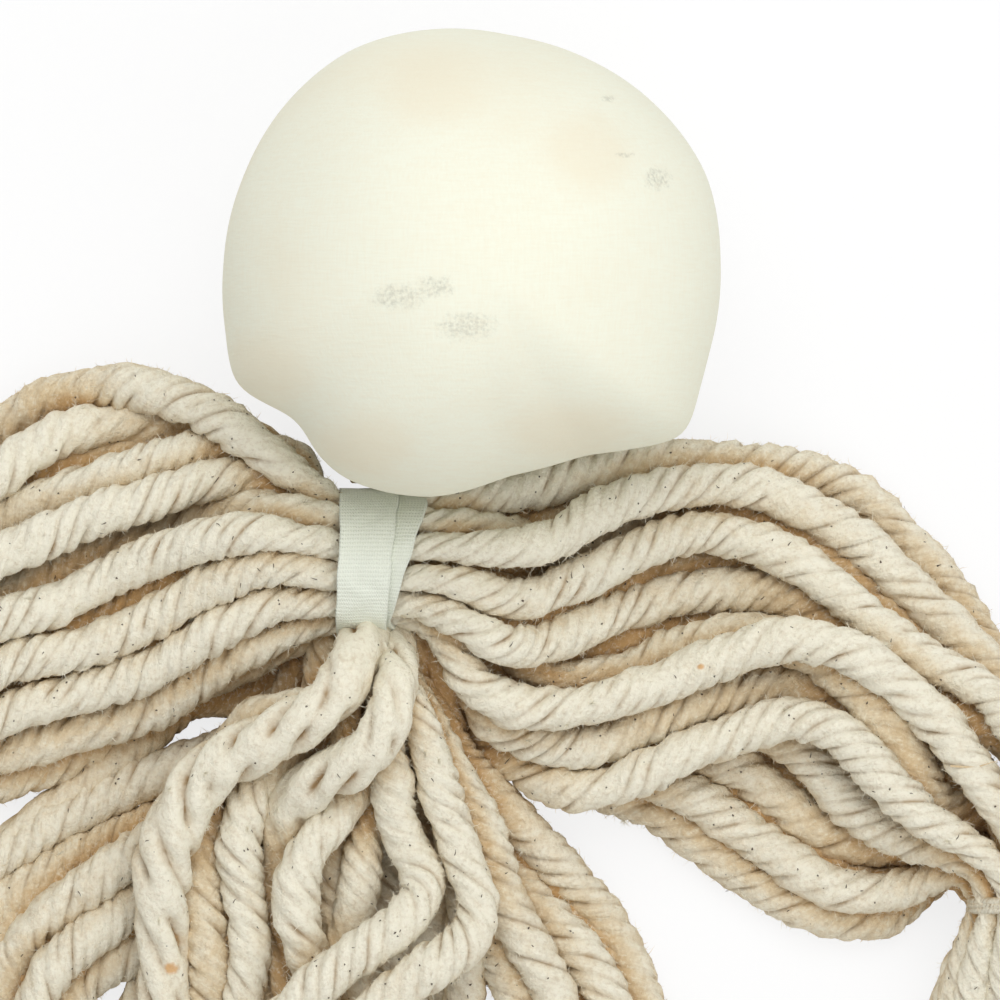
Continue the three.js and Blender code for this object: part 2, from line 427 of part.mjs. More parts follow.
function stretchSkirt(rows) {
  return rows.map(([x, y, ...rest]) => (
    [x, stretch(y, SKIRT_KNEE, LISTED_FOOT, SKIRT_FOOT), ...rest]));
}

// A yarn along its chosen points, thin where it is bound and full once it is free.
function makeYarn(name, { route, bound }, axis, startRadius, endRadius, looseRadius) {
  const points = route.map(([x, y, z = REST_HEIGHT]) => new THREE.Vector3(x, y, z));
  const run = [0];
  points.slice(1).forEach((point, i) => run.push(run[i] + point.distanceTo(points[i])));
  const length = run[run.length - 1];
  const radii = run.map((along) => {
    const fromStart = THREE.MathUtils.smoothstep(along, bound, bound + SWELL_LENGTH);
    const fromEnd = THREE.MathUtils.smoothstep(length - along, 0, WRIST_TAPER);
    const start = THREE.MathUtils.lerp(startRadius, looseRadius, fromStart);
    return THREE.MathUtils.lerp(endRadius, start, fromEnd);
  });
  return { name, axis, points, radii, chosen: points.map((point) => point.clone()) };
}

// The head's outline radius toward a direction in plan.
function headRadius(angle) {
  const turn = THREE.MathUtils.euclideanModulo(angle / (2 * Math.PI), 1) * HEAD_RADII.length;
  const i = Math.floor(turn);
  const t = turn - i;
  const at = (k) => HEAD_RADII[(k + HEAD_RADII.length) % HEAD_RADII.length];
  const bend = (at(i - 1) - 2 * at(i) + at(i + 1)) * (1 - t) + (at(i) - 2 * at(i + 1) + at(i + 2)) * t;
  return at(i) * (1 - t) + at(i + 1) * t - (bend * t * (1 - t)) / 4;
}

// Pushes a point sideways off the head, which overhangs what lies beside it.
function clearHead(point, radius) {
  const dx = point.x - HEAD_CENTRE.x;
  const dy = point.y - HEAD_CENTRE.y;
  const away = Math.hypot(dx, dy);
  const rise = (point.z - HEAD_CENTRE.z) / HEAD_HALF_HEIGHT;
  const slope = Math.sqrt(Math.max(1 - rise * rise, HEAD_FOOT_SLOPE));
  const least = headRadius(Math.atan2(dy, dx)) * slope + (radius + HEAD_GAP) / slope;
  if (away < least) {
    point.x += (dx / away) * (least - away) * PUSH_SHARE;
    point.y += (dy / away) * (least - away) * PUSH_SHARE;
  }
}

// Pushes a point out of a bundle, whose section is an ellipse lying on the ground.
function clearBundle(point, radius, spine) {
  let best = null;
  for (let i = 0; i + 1 < spine.length; i += 1) {
    const [ax, ay, aw, ah] = spine[i];
    const [bx, by, bw, bh] = spine[i + 1];
    const dx = bx - ax;
    const dy = by - ay;
    const along = ((point.x - ax) * dx + (point.y - ay) * dy) / (dx * dx + dy * dy);
    const t = THREE.MathUtils.clamp(along, 0, 1);
    const ox = point.x - (ax + dx * t);
    const oy = point.y - (ay + dy * t);
    const off = Math.hypot(ox, oy);
    if (best === null || off < best.off) {
      best = { off, ox, oy, wide: aw + (bw - aw) * t, high: (ah + (bh - ah) * t) / 2 };
    }
  }
  const reachX = best.wide + radius + BUNDLE_GAP;
  const reachZ = best.high + radius + BUNDLE_GAP;
  const rise = point.z - best.high;
  const inside = Math.hypot(best.off / reachX, rise / reachZ);
  if (inside >= 1) return;
  const nx = best.off / (reachX * reachX);
  const nz = Math.max(rise, 0.1) / (reachZ * reachZ);
  const size = Math.hypot(nx, nz);
  const depth = (1 - inside) / (size * Math.max(inside, 0.2));
  const push = Math.min(depth, LARGEST_PUSH) * PUSH_SHARE;
  const side = best.off > 0.001 ? (nx / size) * push / best.off : 0;
  point.x += best.ox * side;
  point.y += best.oy * side;
  point.z += (nz / size) * push;
}

// Pushes an arm's yarn off the waist and its tie, outward or toward the head, whichever is less.
function clearWaist(point, radius) {
  const rise = WAIST_TOP + radius + YARN_GAP - point.y;
  if (rise <= 0 || point.y < WAIST_FOOT - radius - YARN_GAP) return;
  const reachX = WAIST_HALF_X + 2 * TIE_RADIUS + FIT_GAP + radius + YARN_GAP;
  const reachZ = WAIST_HALF_Z + 2 * TIE_RADIUS + FIT_GAP + radius + YARN_GAP;
  const inside = Math.hypot((point.x - WAIST_X) / reachX, (point.z - WAIST_Z) / reachZ);
  if (inside >= 1) return;
  if (rise < (1 - inside) * reachX) {
    point.y += rise * PUSH_SHARE;
    return;
  }
  const growth = (1 / Math.max(inside, 0.3) - 1) * PUSH_SHARE;
  point.x += (point.x - WAIST_X) * growth;
  point.z += (point.z - WAIST_Z) * growth;
}

// Pushes an arm's yarn off the wrist tie, sideways or toward the tape, whichever is less.
function clearWrist(point, radius, wrist) {
  const tie = WRIST_HALF_WIDTH + FIT_GAP + WRIST_TIE_THICKNESS;
  const beside = tie + radius + YARN_GAP - Math.abs(point.x - wrist.x);
  const rise = wrist.y + WRIST_TIE_WIDTH / 2 + radius + YARN_GAP - point.y;
  if (beside <= 0 || rise <= 0) return;
  if (rise < beside) point.y += rise * PUSH_SHARE;
  else point.x += Math.sign(point.x - wrist.x) * beside * PUSH_SHARE;
}

// Keeps a yarn on its own side of the plane in which its bound end lies.
function clearBinding(yarn, i) {
  const point = yarn.points[i];
  const from = yarn.points[0];
  const least = yarn.radii[i] + FIT_GAP;
  if (yarn.axis.x !== 0) {
    point.x = yarn.axis.x * Math.max(yarn.axis.x * point.x, yarn.axis.x * from.x + least);
  } else {
    point.y = Math.min(point.y, from.y - least);
  }
}

const offset = new THREE.Vector3();
const startA = new THREE.Vector3();
const startB = new THREE.Vector3();
const spanA = new THREE.Vector3();
const spanB = new THREE.Vector3();
const middle = new THREE.Vector3();
const unmoved = new THREE.Vector3();

// Nearest places on two straight stretches, as shares of their lengths.
function nearest(p0, p1, q0, q1) {
  spanA.subVectors(p1, p0);
  spanB.subVectors(q1, q0);
  offset.subVectors(p0, q0);
  const a = spanA.dot(spanA);
  const e = spanB.dot(spanB);
  const f = spanB.dot(offset);
  const c = spanA.dot(offset);
  const b = spanA.dot(spanB);
  const denominator = a * e - b * b;
  let s = denominator > 1e-6 ? THREE.MathUtils.clamp((b * f - c * e) / denominator, 0, 1) : 0.5;
  let t = (b * s + f) / e;
  if (t < 0) {
    t = 0;
    s = THREE.MathUtils.clamp(-c / a, 0, 1);
  } else if (t > 1) {
    t = 1;
    s = THREE.MathUtils.clamp((b - c) / a, 0, 1);
  }
  return [s, t];
}

// Moves the two stretches apart where they are nearer than their radii and the gap.
function partStretches(one, i, two, j) {
  const p0 = one.points[i];
  const p1 = one.points[i + 1];
  const q0 = two.points[j];
  const q1 = two.points[j + 1];
  const [s, t] = nearest(p0, p1, q0, q1);
  startA.lerpVectors(p0, p1, s);
  startB.lerpVectors(q0, q1, t);
  offset.subVectors(startA, startB);
  const apart = offset.length();
  const radiusA = one.radii[i] + (one.radii[i + 1] - one.radii[i]) * s;
  const radiusB = two.radii[j] + (two.radii[j + 1] - two.radii[j]) * t;
  const short = radiusA + radiusB + YARN_GAP - apart;
  if (short <= 0) return;
  if (apart < 0.01) offset.set(0, 0, 1);
  else offset.divideScalar(apart);
  const weights = [1 - s, s, 1 - t, t];
  const stretch = [one.pins[i], one.pins[i + 1], two.pins[j], two.pins[j + 1]];
  const total = weights.reduce((sum, w, k) => sum + (stretch[k] ? 0 : w * w), 0);
  if (total < 0.01) return;
  const share = short / total;
  [p0, p1, q0, q1].forEach((point, k) => {
    if (stretch[k]) return;
    point.addScaledVector(offset, (k < 2 ? 1 : -1) * weights[k] * share * PARTING_SHARE);
  });
}

// Evens out how far neighbouring points have moved from the chosen route.
function smoothMoves(yarn, amount) {
  const moves = yarn.points.map((point, i) => point.clone().sub(yarn.chosen[i]));
  for (let i = 1; i < yarn.points.length; i += 1) {
    if (yarn.pins[i]) continue;
    const after = moves[Math.min(i + 1, moves.length - 1)];
    const mean = moves[i - 1].clone().add(after).multiplyScalar(0.5);
    yarn.points[i].addScaledVector(mean.sub(moves[i]), amount);
  }
}

// Applies a push to every free point and at places along every stretch.
function pushAll(yarn, push) {
  const { points, radii, pins } = yarn;
  points.forEach((point, i) => {
    if (!pins[i]) push(point, radii[i]);
    if (i === 0) return;
    PUSHED_SHARES.forEach((share) => {
      middle.lerpVectors(points[i - 1], point, share);
      unmoved.copy(middle);
      push(middle, THREE.MathUtils.lerp(radii[i - 1], radii[i], share));
      middle.sub(unmoved);
      if (!pins[i]) point.addScaledVector(middle, share);
      if (!pins[i - 1]) points[i - 1].addScaledVector(middle, 1 - share);
    });
  });
}

function holdOff(yarn) {
  pushAll(yarn, (point, radius) => clearBundle(point, radius, SKIRT_BUNDLE));
  if (yarn.wrist) {
    pushAll(yarn, (point, radius) => clearBundle(point, radius, yarn.bundle));
    pushAll(yarn, clearWaist);
    pushAll(yarn, clearHead);
    pushAll(yarn, (point, radius) => clearWrist(point, radius, yarn.wrist));
  }
  yarn.points.forEach((point, i) => {
    if (yarn.pins[i]) return;
    clearBinding(yarn, i);
    point.z = Math.max(point.z, yarn.radii[i] + FLOOR_GAP);
  });
}

// Stretches of different yarns that are near enough to meet soon.
function nearStretches(yarns) {
  const boxes = yarns.map(({ points, radii }) => points.slice(1).map((point, i) => (
    new THREE.Box3().setFromPoints([point, points[i]])
      .expandByScalar(Math.max(radii[i], radii[i + 1]) + SEARCH_MARGIN / 2))));
  const found = [];
  yarns.forEach((one, a) => {
    yarns.slice(a + 1).forEach((two, b) => {
      boxes[a].forEach((box, i) => {
        boxes[a + 1 + b].forEach((other, j) => {
          if (box.intersectsBox(other)) found.push([one, i, two, j]);
        });
      });
    });
  });
  return found;
}

// Lets the yarns sink until they rest on the ground, the bundles and one another.
function settle(yarns) {
  let near = [];
  for (let round = 0; round < SINKING_ROUNDS + CLEARING_ROUNDS; round += 1) {
    if (round % ROUNDS_PER_SEARCH === 0) near = nearStretches(yarns);
    if (round < SINKING_ROUNDS) {
      yarns.forEach((yarn) => {
        yarn.points.forEach((point, i) => {
          if (yarn.pins[i]) return;
          point.z -= SINK;
          point.x += (yarn.chosen[i].x - point.x) * HOLD;
          point.y += (yarn.chosen[i].y - point.y) * HOLD;
        });
        smoothMoves(yarn, SPREAD);
      });
    }
    near.forEach(([one, i, two, j]) => partStretches(one, i, two, j));
    yarns.forEach(holdOff);
  }
}

// A tube round the settled points, its rings square to the path.
function yarnGeometry(yarn) {
  const { points, radii, axis } = yarn;
  const tangents = points.map((_, i) => {
    const before = points[Math.max(i - 1, 0)];
    const after = points[Math.min(i + 1, points.length - 1)];
    return i === 0 ? axis.clone() : after.clone().sub(before).normalize();
  });
  const side = new THREE.Vector3(0, 0, 1).cross(axis).normalize();
  const turn = new THREE.Quaternion();
  const rings = points.map((point, i) => {
    if (i > 0) side.applyQuaternion(turn.setFromUnitVectors(tangents[i - 1], tangents[i]));
    const up = tangents[i].clone().cross(side);
    return Array.from({ length: YARN_SIDES }, (_, k) => {
      const angle = ((k + 0.5) / YARN_SIDES) * 2 * Math.PI;
      return point.clone()
        .addScaledVector(side, Math.cos(angle) * radii[i])
        .addScaledVector(up, Math.sin(angle) * radii[i]);
    });
  });
  return skin(rings);
}

// A bundle on the ground: an elliptic section with the furrows between its yarns.
function bundleGeometry(spine) {
  const rings = spine.map(([x, y, half, height, lift = 0], i) => {
    const before = spine[Math.max(i - 1, 0)];
    const after = spine[Math.min(i + 1, spine.length - 1)];
    const run = new THREE.Vector2(after[0] - before[0], after[1] - before[1]).normalize();
    return Array.from({ length: 2 * BUNDLE_LOBES }, (_, k) => {
      const angle = (k / (2 * BUNDLE_LOBES)) * 2 * Math.PI;
      const shrink = k % 2 ? 1 - LOBE_DEPTH : 1;
      const across = Math.cos(angle) * half * shrink;
      const up = height / 2 - FLAT_CUT + Math.sin(angle) * (height / 2) * shrink;
      const z = lift + Math.max(up, 0);
      return new THREE.Vector3(x - run.y * across, y + run.x * across, z);
    });
  });
  return skin(rings);
}

// A hand's loose ends: a bundle that flares from the wrist to the cut ends.
function handGeometry(wrist) {
  const top = wrist.y - WRIST_BAND / 2 - FIT_GAP;
  const topHalf = WRIST_HALF_HEIGHT * HAND_TOP_SHARE;
  const rings = HAND_ROWS.map((t) => {
    const half = WRIST_HALF_WIDTH * THREE.MathUtils.lerp(HAND_TOP_SHARE, HAND_FLARE, Math.sqrt(t));
    const fall = t ** HAND_FALL;
    const high = THREE.MathUtils.lerp(topHalf, HAND_END_HALF_HEIGHT, fall);
    const centre = THREE.MathUtils.lerp(wrist.z, HAND_END_HALF_HEIGHT - FLAT_CUT, fall);
    return Array.from({ length: 2 * BUNDLE_LOBES }, (_, k) => {
      const angle = (k / (2 * BUNDLE_LOBES)) * 2 * Math.PI;
      const shrink = k % 2 ? 1 - LOBE_DEPTH : 1;
      const across = Math.cos(angle) * half * shrink;
      const up = centre + Math.sin(angle) * high * shrink;
      return new THREE.Vector3(wrist.x + across, top - t * HAND_LENGTH, Math.max(up, 0));
    });
  });
  return skin(rings);
}

// One closed band round the shoulder yarn, flat where it rests on the ground.
function bandGeometry(halfY, halfZ, thickness, from, to) {
  const ring = (x, grow) => Array.from({ length: TAPE_SIDES }, (_, k) => {
    const angle = (k / TAPE_SIDES) * 2 * Math.PI;
    const y = SHOULDER_Y + Math.cos(angle) * (halfY + grow);
    const z = SHOULDER_Z + Math.sin(angle) * (halfZ + grow);
    return new THREE.Vector3(x, y, Math.max(z, 0));
  });
  const outer = toSolid(skin([ring(from, thickness), ring(to, thickness)]));
  const margin = 1;
  const inner = toSolid(skin([ring(from - margin, 0), ring(to + margin, 0)]));
  return toGeometry(outer.subtract(inner));
}

// A closed hoop round the Y direction: a section of [outward, along] points swept on an ellipse.
function hoopGeometry(x, y, z, halfX, halfZ, section) {
  const positions = [];
  const index = [];
  for (let i = 0; i < HOOP_STEPS; i += 1) {
    const angle = (i / HOOP_STEPS) * 2 * Math.PI;
    section.forEach(([out, along], k) => {
      positions.push(
        x + Math.cos(angle) * (halfX + out),
        y + along,
        z + Math.sin(angle) * (halfZ + out),
      );
      const a = i * section.length + k;
      const b = i * section.length + ((k + 1) % section.length);
      const c = ((i + 1) % HOOP_STEPS) * section.length + k;
      const d = ((i + 1) % HOOP_STEPS) * section.length + ((k + 1) % section.length);
      index.push(a, b, c, b, d, c);
    });
  }
  const geometry = new THREE.BufferGeometry();
  geometry.setAttribute('position', new THREE.Float32BufferAttribute(positions, 3));
  geometry.setIndex(index);
  geometry.computeVertexNormals();
  return geometry;
}

// An oval section, or with spacing two round turns side by side.
function turnSection(halfOut, halfAlong, spacing, sides) {
  return Array.from({ length: sides }, (_, k) => {
    const angle = ((k + 0.5) / sides) * 2 * Math.PI;
    const shift = Math.sign(Math.sin(angle)) * spacing;
    return [Math.cos(angle) * halfOut, Math.sin(angle) * halfAlong + shift];
  });
}

// The ball of the head, shrunk by an inset on every side.
function headSolid(inset) {
  const rings = [];
  for (let row = 0; row <= HEAD_PARALLELS; row += 1) {
    const latitude = THREE.MathUtils.lerp(HEAD_LOWEST, HEAD_HIGHEST, row / HEAD_PARALLELS);
    const flat = Math.cos(latitude);
    const z = HEAD_CENTRE.z + Math.sin(latitude) * (HEAD_HALF_HEIGHT - inset);
    rings.push(Array.from({ length: HEAD_MERIDIANS }, (_, k) => {
      const angle = (k / HEAD_MERIDIANS) * 2 * Math.PI;
      const radius = (headRadius(angle) - inset) * flat;
      return new THREE.Vector3(
        HEAD_CENTRE.x + Math.cos(angle) * radius,
        HEAD_CENTRE.y + Math.sin(angle) * radius,
        Math.max(z, inset),
      );
    }));
  }
  return toSolid(skin(rings));
}

function neckSolid(radius, top) {
  const ring = (y) => Array.from({ length: NECK_SIDES }, (_, k) => {
    const angle = (k / NECK_SIDES) * 2 * Math.PI;
    const x = NECK.x + Math.cos(angle) * radius;
    return new THREE.Vector3(x, y, NECK.z + Math.sin(angle) * radius);
  });
  return toSolid(skin([ring(top), ring(NECK.y)]));
}

function addHead() {
  const shell = headSolid(0)
    .add(neckSolid(NECK_RADIUS, NECK.y + NECK_REACH))
    .subtract(headSolid(MUSLIN))
    .subtract(neckSolid(NECK_RADIUS - NECK_WALL, NECK.y + NECK_REACH + 4).translate([0, -1, 0]));
  addMesh('head_cover', toGeometry(shell), MUSLIN_CLOTH);
  const core = headSolid(MUSLIN + FIT_GAP)
    .add(neckSolid(NECK_RADIUS - NECK_WALL - FIT_GAP, NECK.y + NECK_REACH));
  addMesh('head_stuffing', toGeometry(core), WADDING);
  const seat = NECK_RADIUS + FIT_GAP + NECK_THREAD_RADIUS;
  const y = NECK.y + NECK_THREAD_SETBACK;
  const section = turnSection(NECK_THREAD_RADIUS, NECK_THREAD_RADIUS, 0, NECK_THREAD_SIDES);
  addMesh('neck_thread', hoopGeometry(NECK.x, y, NECK.z, seat, seat, section), COTTON);
}

function addShoulder() {
  const ring = (x) => Array.from({ length: TAPE_SIDES }, (_, k) => {
    const angle = (k / TAPE_SIDES) * 2 * Math.PI;
    const y = SHOULDER_Y + Math.cos(angle) * SHOULDER_HALF_Y;
    return new THREE.Vector3(x, y, SHOULDER_Z + Math.sin(angle) * SHOULDER_HALF_Z);
  });
  addMesh('shoulder_yarn', skin([ring(-TAPE_HALF_WIDTH), ring(TAPE_HALF_WIDTH)]), SHADED_COTTON);
  let halfY = SHOULDER_HALF_Y + FIT_GAP;
  let halfZ = SHOULDER_HALF_Z + FIT_GAP;
  addMesh('neck_tape_under', bandGeometry(halfY, halfZ, TAPE_THICKNESS, ...UNDER_TAPE), TAPE_CLOTH);
  halfY += TAPE_THICKNESS + FIT_GAP;
  halfZ += TAPE_THICKNESS + FIT_GAP;
  addMesh('neck_tape_over', bandGeometry(halfY, halfZ, TAPE_THICKNESS, ...OVER_TAPE), TAPE_CLOTH);
}

function addWaist() {
  const ring = (y) => Array.from({ length: WAIST_SIDES }, (_, k) => {
    const angle = (k / WAIST_SIDES) * 2 * Math.PI;
    const x = WAIST_X + Math.cos(angle) * WAIST_HALF_X;
    return new THREE.Vector3(x, y, WAIST_Z + Math.sin(angle) * WAIST_HALF_Z);
  });
  addMesh('waist_yarn', skin([ring(WAIST_TOP), ring(WAIST_FOOT)]), SHADED_COTTON);
  const halfX = WAIST_HALF_X + FIT_GAP + TIE_RADIUS;
  const halfZ = WAIST_HALF_Z + FIT_GAP + TIE_RADIUS;
  const y = (WAIST_TOP + WAIST_FOOT) / 2;
  const section = turnSection(TIE_RADIUS, TIE_RADIUS, TIE_SPACING, TIE_SIDES);
  const tie = toSolid(hoopGeometry(WAIST_X, y, WAIST_Z, halfX, halfZ, section));
  const ball = new THREE.SphereGeometry(1, KNOT_SIDES, KNOT_ROWS);
  ball.scale(KNOT_HALF.x, KNOT_HALF.y, KNOT_HALF.z);
  ball.translate(KNOT.x, KNOT.y, KNOT.z);
  addMesh('waist_tie', toGeometry(tie.add(toSolid(weld(ball)))), COTTON);
}

// Shared corners merged, and the slivers at the poles dropped.
function weld(geometry) {
  const keys = new Map();
  const positions = [];
  const source = geometry.attributes.position;
  const remap = Array.from({ length: source.count }, (_, i) => {
    const key = [source.getX(i), source.getY(i), source.getZ(i)].map((v) => v.toFixed(4)).join();
    if (!keys.has(key)) {
      keys.set(key, positions.length / 3);
      positions.push(source.getX(i), source.getY(i), source.getZ(i));
    }
    return keys.get(key);
  });
  const index = [];
  for (let i = 0; i < geometry.index.count; i += 3) {
    const [a, b, c] = [0, 1, 2].map((k) => remap[geometry.index.getX(i + k)]);
    if (a !== b && b !== c && a !== c) index.push(a, b, c);
  }
  const welded = new THREE.BufferGeometry();
  welded.setAttribute('position', new THREE.Float32BufferAttribute(positions, 3));
  welded.setIndex(index);
  return welded;
}

// The two last points of an arm yarn, straight through the wrist tie.
function wristSeat(wrist, [ring, degrees]) {
  const angle = THREE.MathUtils.degToRad(degrees);
  const x = wrist.x + Math.cos(angle) * WRIST_HALF_WIDTH * ring;
  const z = wrist.z + Math.sin(angle) * WRIST_HALF_HEIGHT * ring;
  return [[x, wrist.y + WRIST_LEAD, z], [x, wrist.y - WRIST_BAND / 2, z]];
}

function armYarns(side, specs, wrist, bundle) {
  const axis = new THREE.Vector3(Math.sign(wrist.x), 0, 0);
  return specs.map(({ seat, bound, route }, i) => {
    const whole = { bound, route: [...stretchArm(route, wrist), ...wristSeat(wrist, seat)] };
    const name = `${side}_arm_yarn_${i + 1}`;
    const yarn = makeYarn(name, whole, axis, TAPED_YARN_RADIUS, WRIST_YARN_RADIUS, YARN_RADIUS);
    const last = yarn.points.length - 1;
    yarn.pins = yarn.points.map((_, k) => k <= 1 || k >= last - 1);
    yarn.radii[last - 1] = WRIST_YARN_RADIUS;
    return { ...yarn, bundle, wrist };
  });
}

function skirtYarn(name, { bound, route }, radius, startRadius) {
  const whole = { bound, route: stretchSkirt(route) };
  const yarn = makeYarn(name, whole, new THREE.Vector3(0, -1, 0), startRadius, radius, radius);
  yarn.pins = yarn.points.map((_, k) => k === 0);
  return yarn;
}

function addYarns() {
  const skirt = SKIRT_YARNS.map((spec, i) => (
    skirtYarn(`skirt_yarn_${i + 1}`, spec, YARN_RADIUS, WAIST_YARN_RADIUS)));
  const yarns = [
    ...armYarns('right', RIGHT_YARNS, RIGHT_WRIST, RIGHT_BUNDLE),
    ...armYarns('left', LEFT_YARNS, LEFT_WRIST, LEFT_BUNDLE),
    ...skirt,
    skirtYarn('tie_end_left', LEFT_END, TIE_END_RADIUS, TIE_END_RADIUS * TIE_END_PINCH),
    skirtYarn('tie_end_right', RIGHT_END, YARN_RADIUS, YARN_RADIUS * TIE_END_PINCH),
  ];
  settle(yarns);
  yarns.forEach((yarn) => addMesh(yarn.name, yarnGeometry(yarn), COTTON));
}

function addWrist(side, wrist) {
  const halfX = WRIST_HALF_WIDTH + FIT_GAP + WRIST_TIE_THICKNESS / 2;
  const halfZ = WRIST_HALF_HEIGHT + FIT_GAP + WRIST_TIE_THICKNESS / 2;
  const halfWidth = WRIST_TIE_WIDTH / 2;
  const section = turnSection(WRIST_TIE_THICKNESS / 2, halfWidth, 0, WRIST_TIE_SIDES);
  const tie = hoopGeometry(wrist.x, wrist.y, wrist.z, halfX, halfZ, section);
  addMesh(`${side}_wrist_tie`, tie, COTTON);
  addMesh(`${side}_hand_yarns`, handGeometry(wrist), SHADED_COTTON);
}

addHead();
addShoulder();
addWaist();
addYarns();
addMesh('right_arm_under_yarns', bundleGeometry(RIGHT_BUNDLE), SHADED_COTTON);
addMesh('left_arm_under_yarns', bundleGeometry(LEFT_BUNDLE), SHADED_COTTON);
addMesh('skirt_under_yarns', bundleGeometry(SKIRT_BUNDLE), SHADED_COTTON);
addWrist('right', RIGHT_WRIST);
addWrist('left', LEFT_WRIST);

export default doll;
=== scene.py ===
"""Looks of a cotton mop-yarn doll that lies face down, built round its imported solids.

Every yarn follows the centre line of its own solid. Metres, +Z up out of the doll's back, +Y to
the top of the head.
"""

import logging
import math
from collections.abc import Callable, Sequence
from dataclasses import dataclass, field
from enum import Enum

import bmesh
import bpy
import numpy as np
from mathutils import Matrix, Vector


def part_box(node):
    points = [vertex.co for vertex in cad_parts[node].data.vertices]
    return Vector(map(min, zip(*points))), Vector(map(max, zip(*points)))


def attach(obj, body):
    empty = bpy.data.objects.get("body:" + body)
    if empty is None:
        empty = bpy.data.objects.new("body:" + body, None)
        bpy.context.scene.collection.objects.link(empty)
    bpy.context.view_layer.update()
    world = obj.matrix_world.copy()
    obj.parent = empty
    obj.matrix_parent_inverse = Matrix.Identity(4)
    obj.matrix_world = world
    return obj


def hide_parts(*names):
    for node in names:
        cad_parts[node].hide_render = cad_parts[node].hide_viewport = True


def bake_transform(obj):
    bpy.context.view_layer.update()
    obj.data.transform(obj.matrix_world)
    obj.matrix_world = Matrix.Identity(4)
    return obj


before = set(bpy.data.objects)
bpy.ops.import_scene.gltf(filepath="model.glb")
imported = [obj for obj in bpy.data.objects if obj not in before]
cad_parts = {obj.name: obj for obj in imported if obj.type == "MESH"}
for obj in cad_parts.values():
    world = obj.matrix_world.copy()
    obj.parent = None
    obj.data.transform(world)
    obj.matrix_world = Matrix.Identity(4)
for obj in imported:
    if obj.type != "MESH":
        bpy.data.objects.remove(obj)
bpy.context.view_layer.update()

LOG = logging.getLogger("yarn_doll")
MM = 0.001
TURN = 2 * math.pi
UP = np.array([0.0, 0.0, 1.0])
FLOOR_GAP = 0.05 * MM
GOLDEN_ANGLE = 2.399963
BUNDLE_CORNERS = 22
YARN_CORNERS = 8

Colour = tuple[float, float, float]
# A spot's middle (x, y) and its half width and half height, in millimetres.
Spot = tuple[float, float, float, float]


def srgb(red: int, green: int, blue: int) -> Colour:
    """Linear colour of an sRGB triple from 0 to 255.

    Args:
        red: red from 0 to 255.
        green: green.
        blue: blue.

    Returns:
        The linear colour.
    """
    def linear(value: int) -> float:
        """Linear share of one channel."""
        share = value / 255
        return share / 12.92 if share <= 0.04045 else ((share + 0.055) / 1.055) ** 2.4

    return (linear(red), linear(green), linear(blue))


class Wire:
    """A shader socket's value that adds Math nodes when it is used in an expression."""

    def __init__(self, shader: "Shader", socket: bpy.types.NodeSocket) -> None:
        """Wraps one output socket of a shader."""
        self.shader = shader
        self.socket = socket

    def math(self, operation: str, first: object, second: object = 0.0) -> "Wire":
        """Adds one Math node over two values to the wire's shader."""
        return self.shader.math(operation, first, second)

    def __add__(self, other: object) -> "Wire":
        """Sum."""
        return self.math("ADD", self, other)

    __radd__ = __add__

    def __sub__(self, other: object) -> "Wire":
        """Difference."""
        return self.math("SUBTRACT", self, other)

    def __rsub__(self, other: object) -> "Wire":
        """Difference the other way round."""
        return self.math("SUBTRACT", other, self)

    def __mul__(self, other: object) -> "Wire":
        """Product."""
        return self.math("MULTIPLY", self, other)

    __rmul__ = __mul__

    def __gt__(self, other: object) -> "Wire":
        """1 where the value is greater than the other."""
        return self.math("GREATER_THAN", self, other)

    def sine(self) -> "Wire":
        """Sine of the value in radians."""
        return self.math("SINE", self)


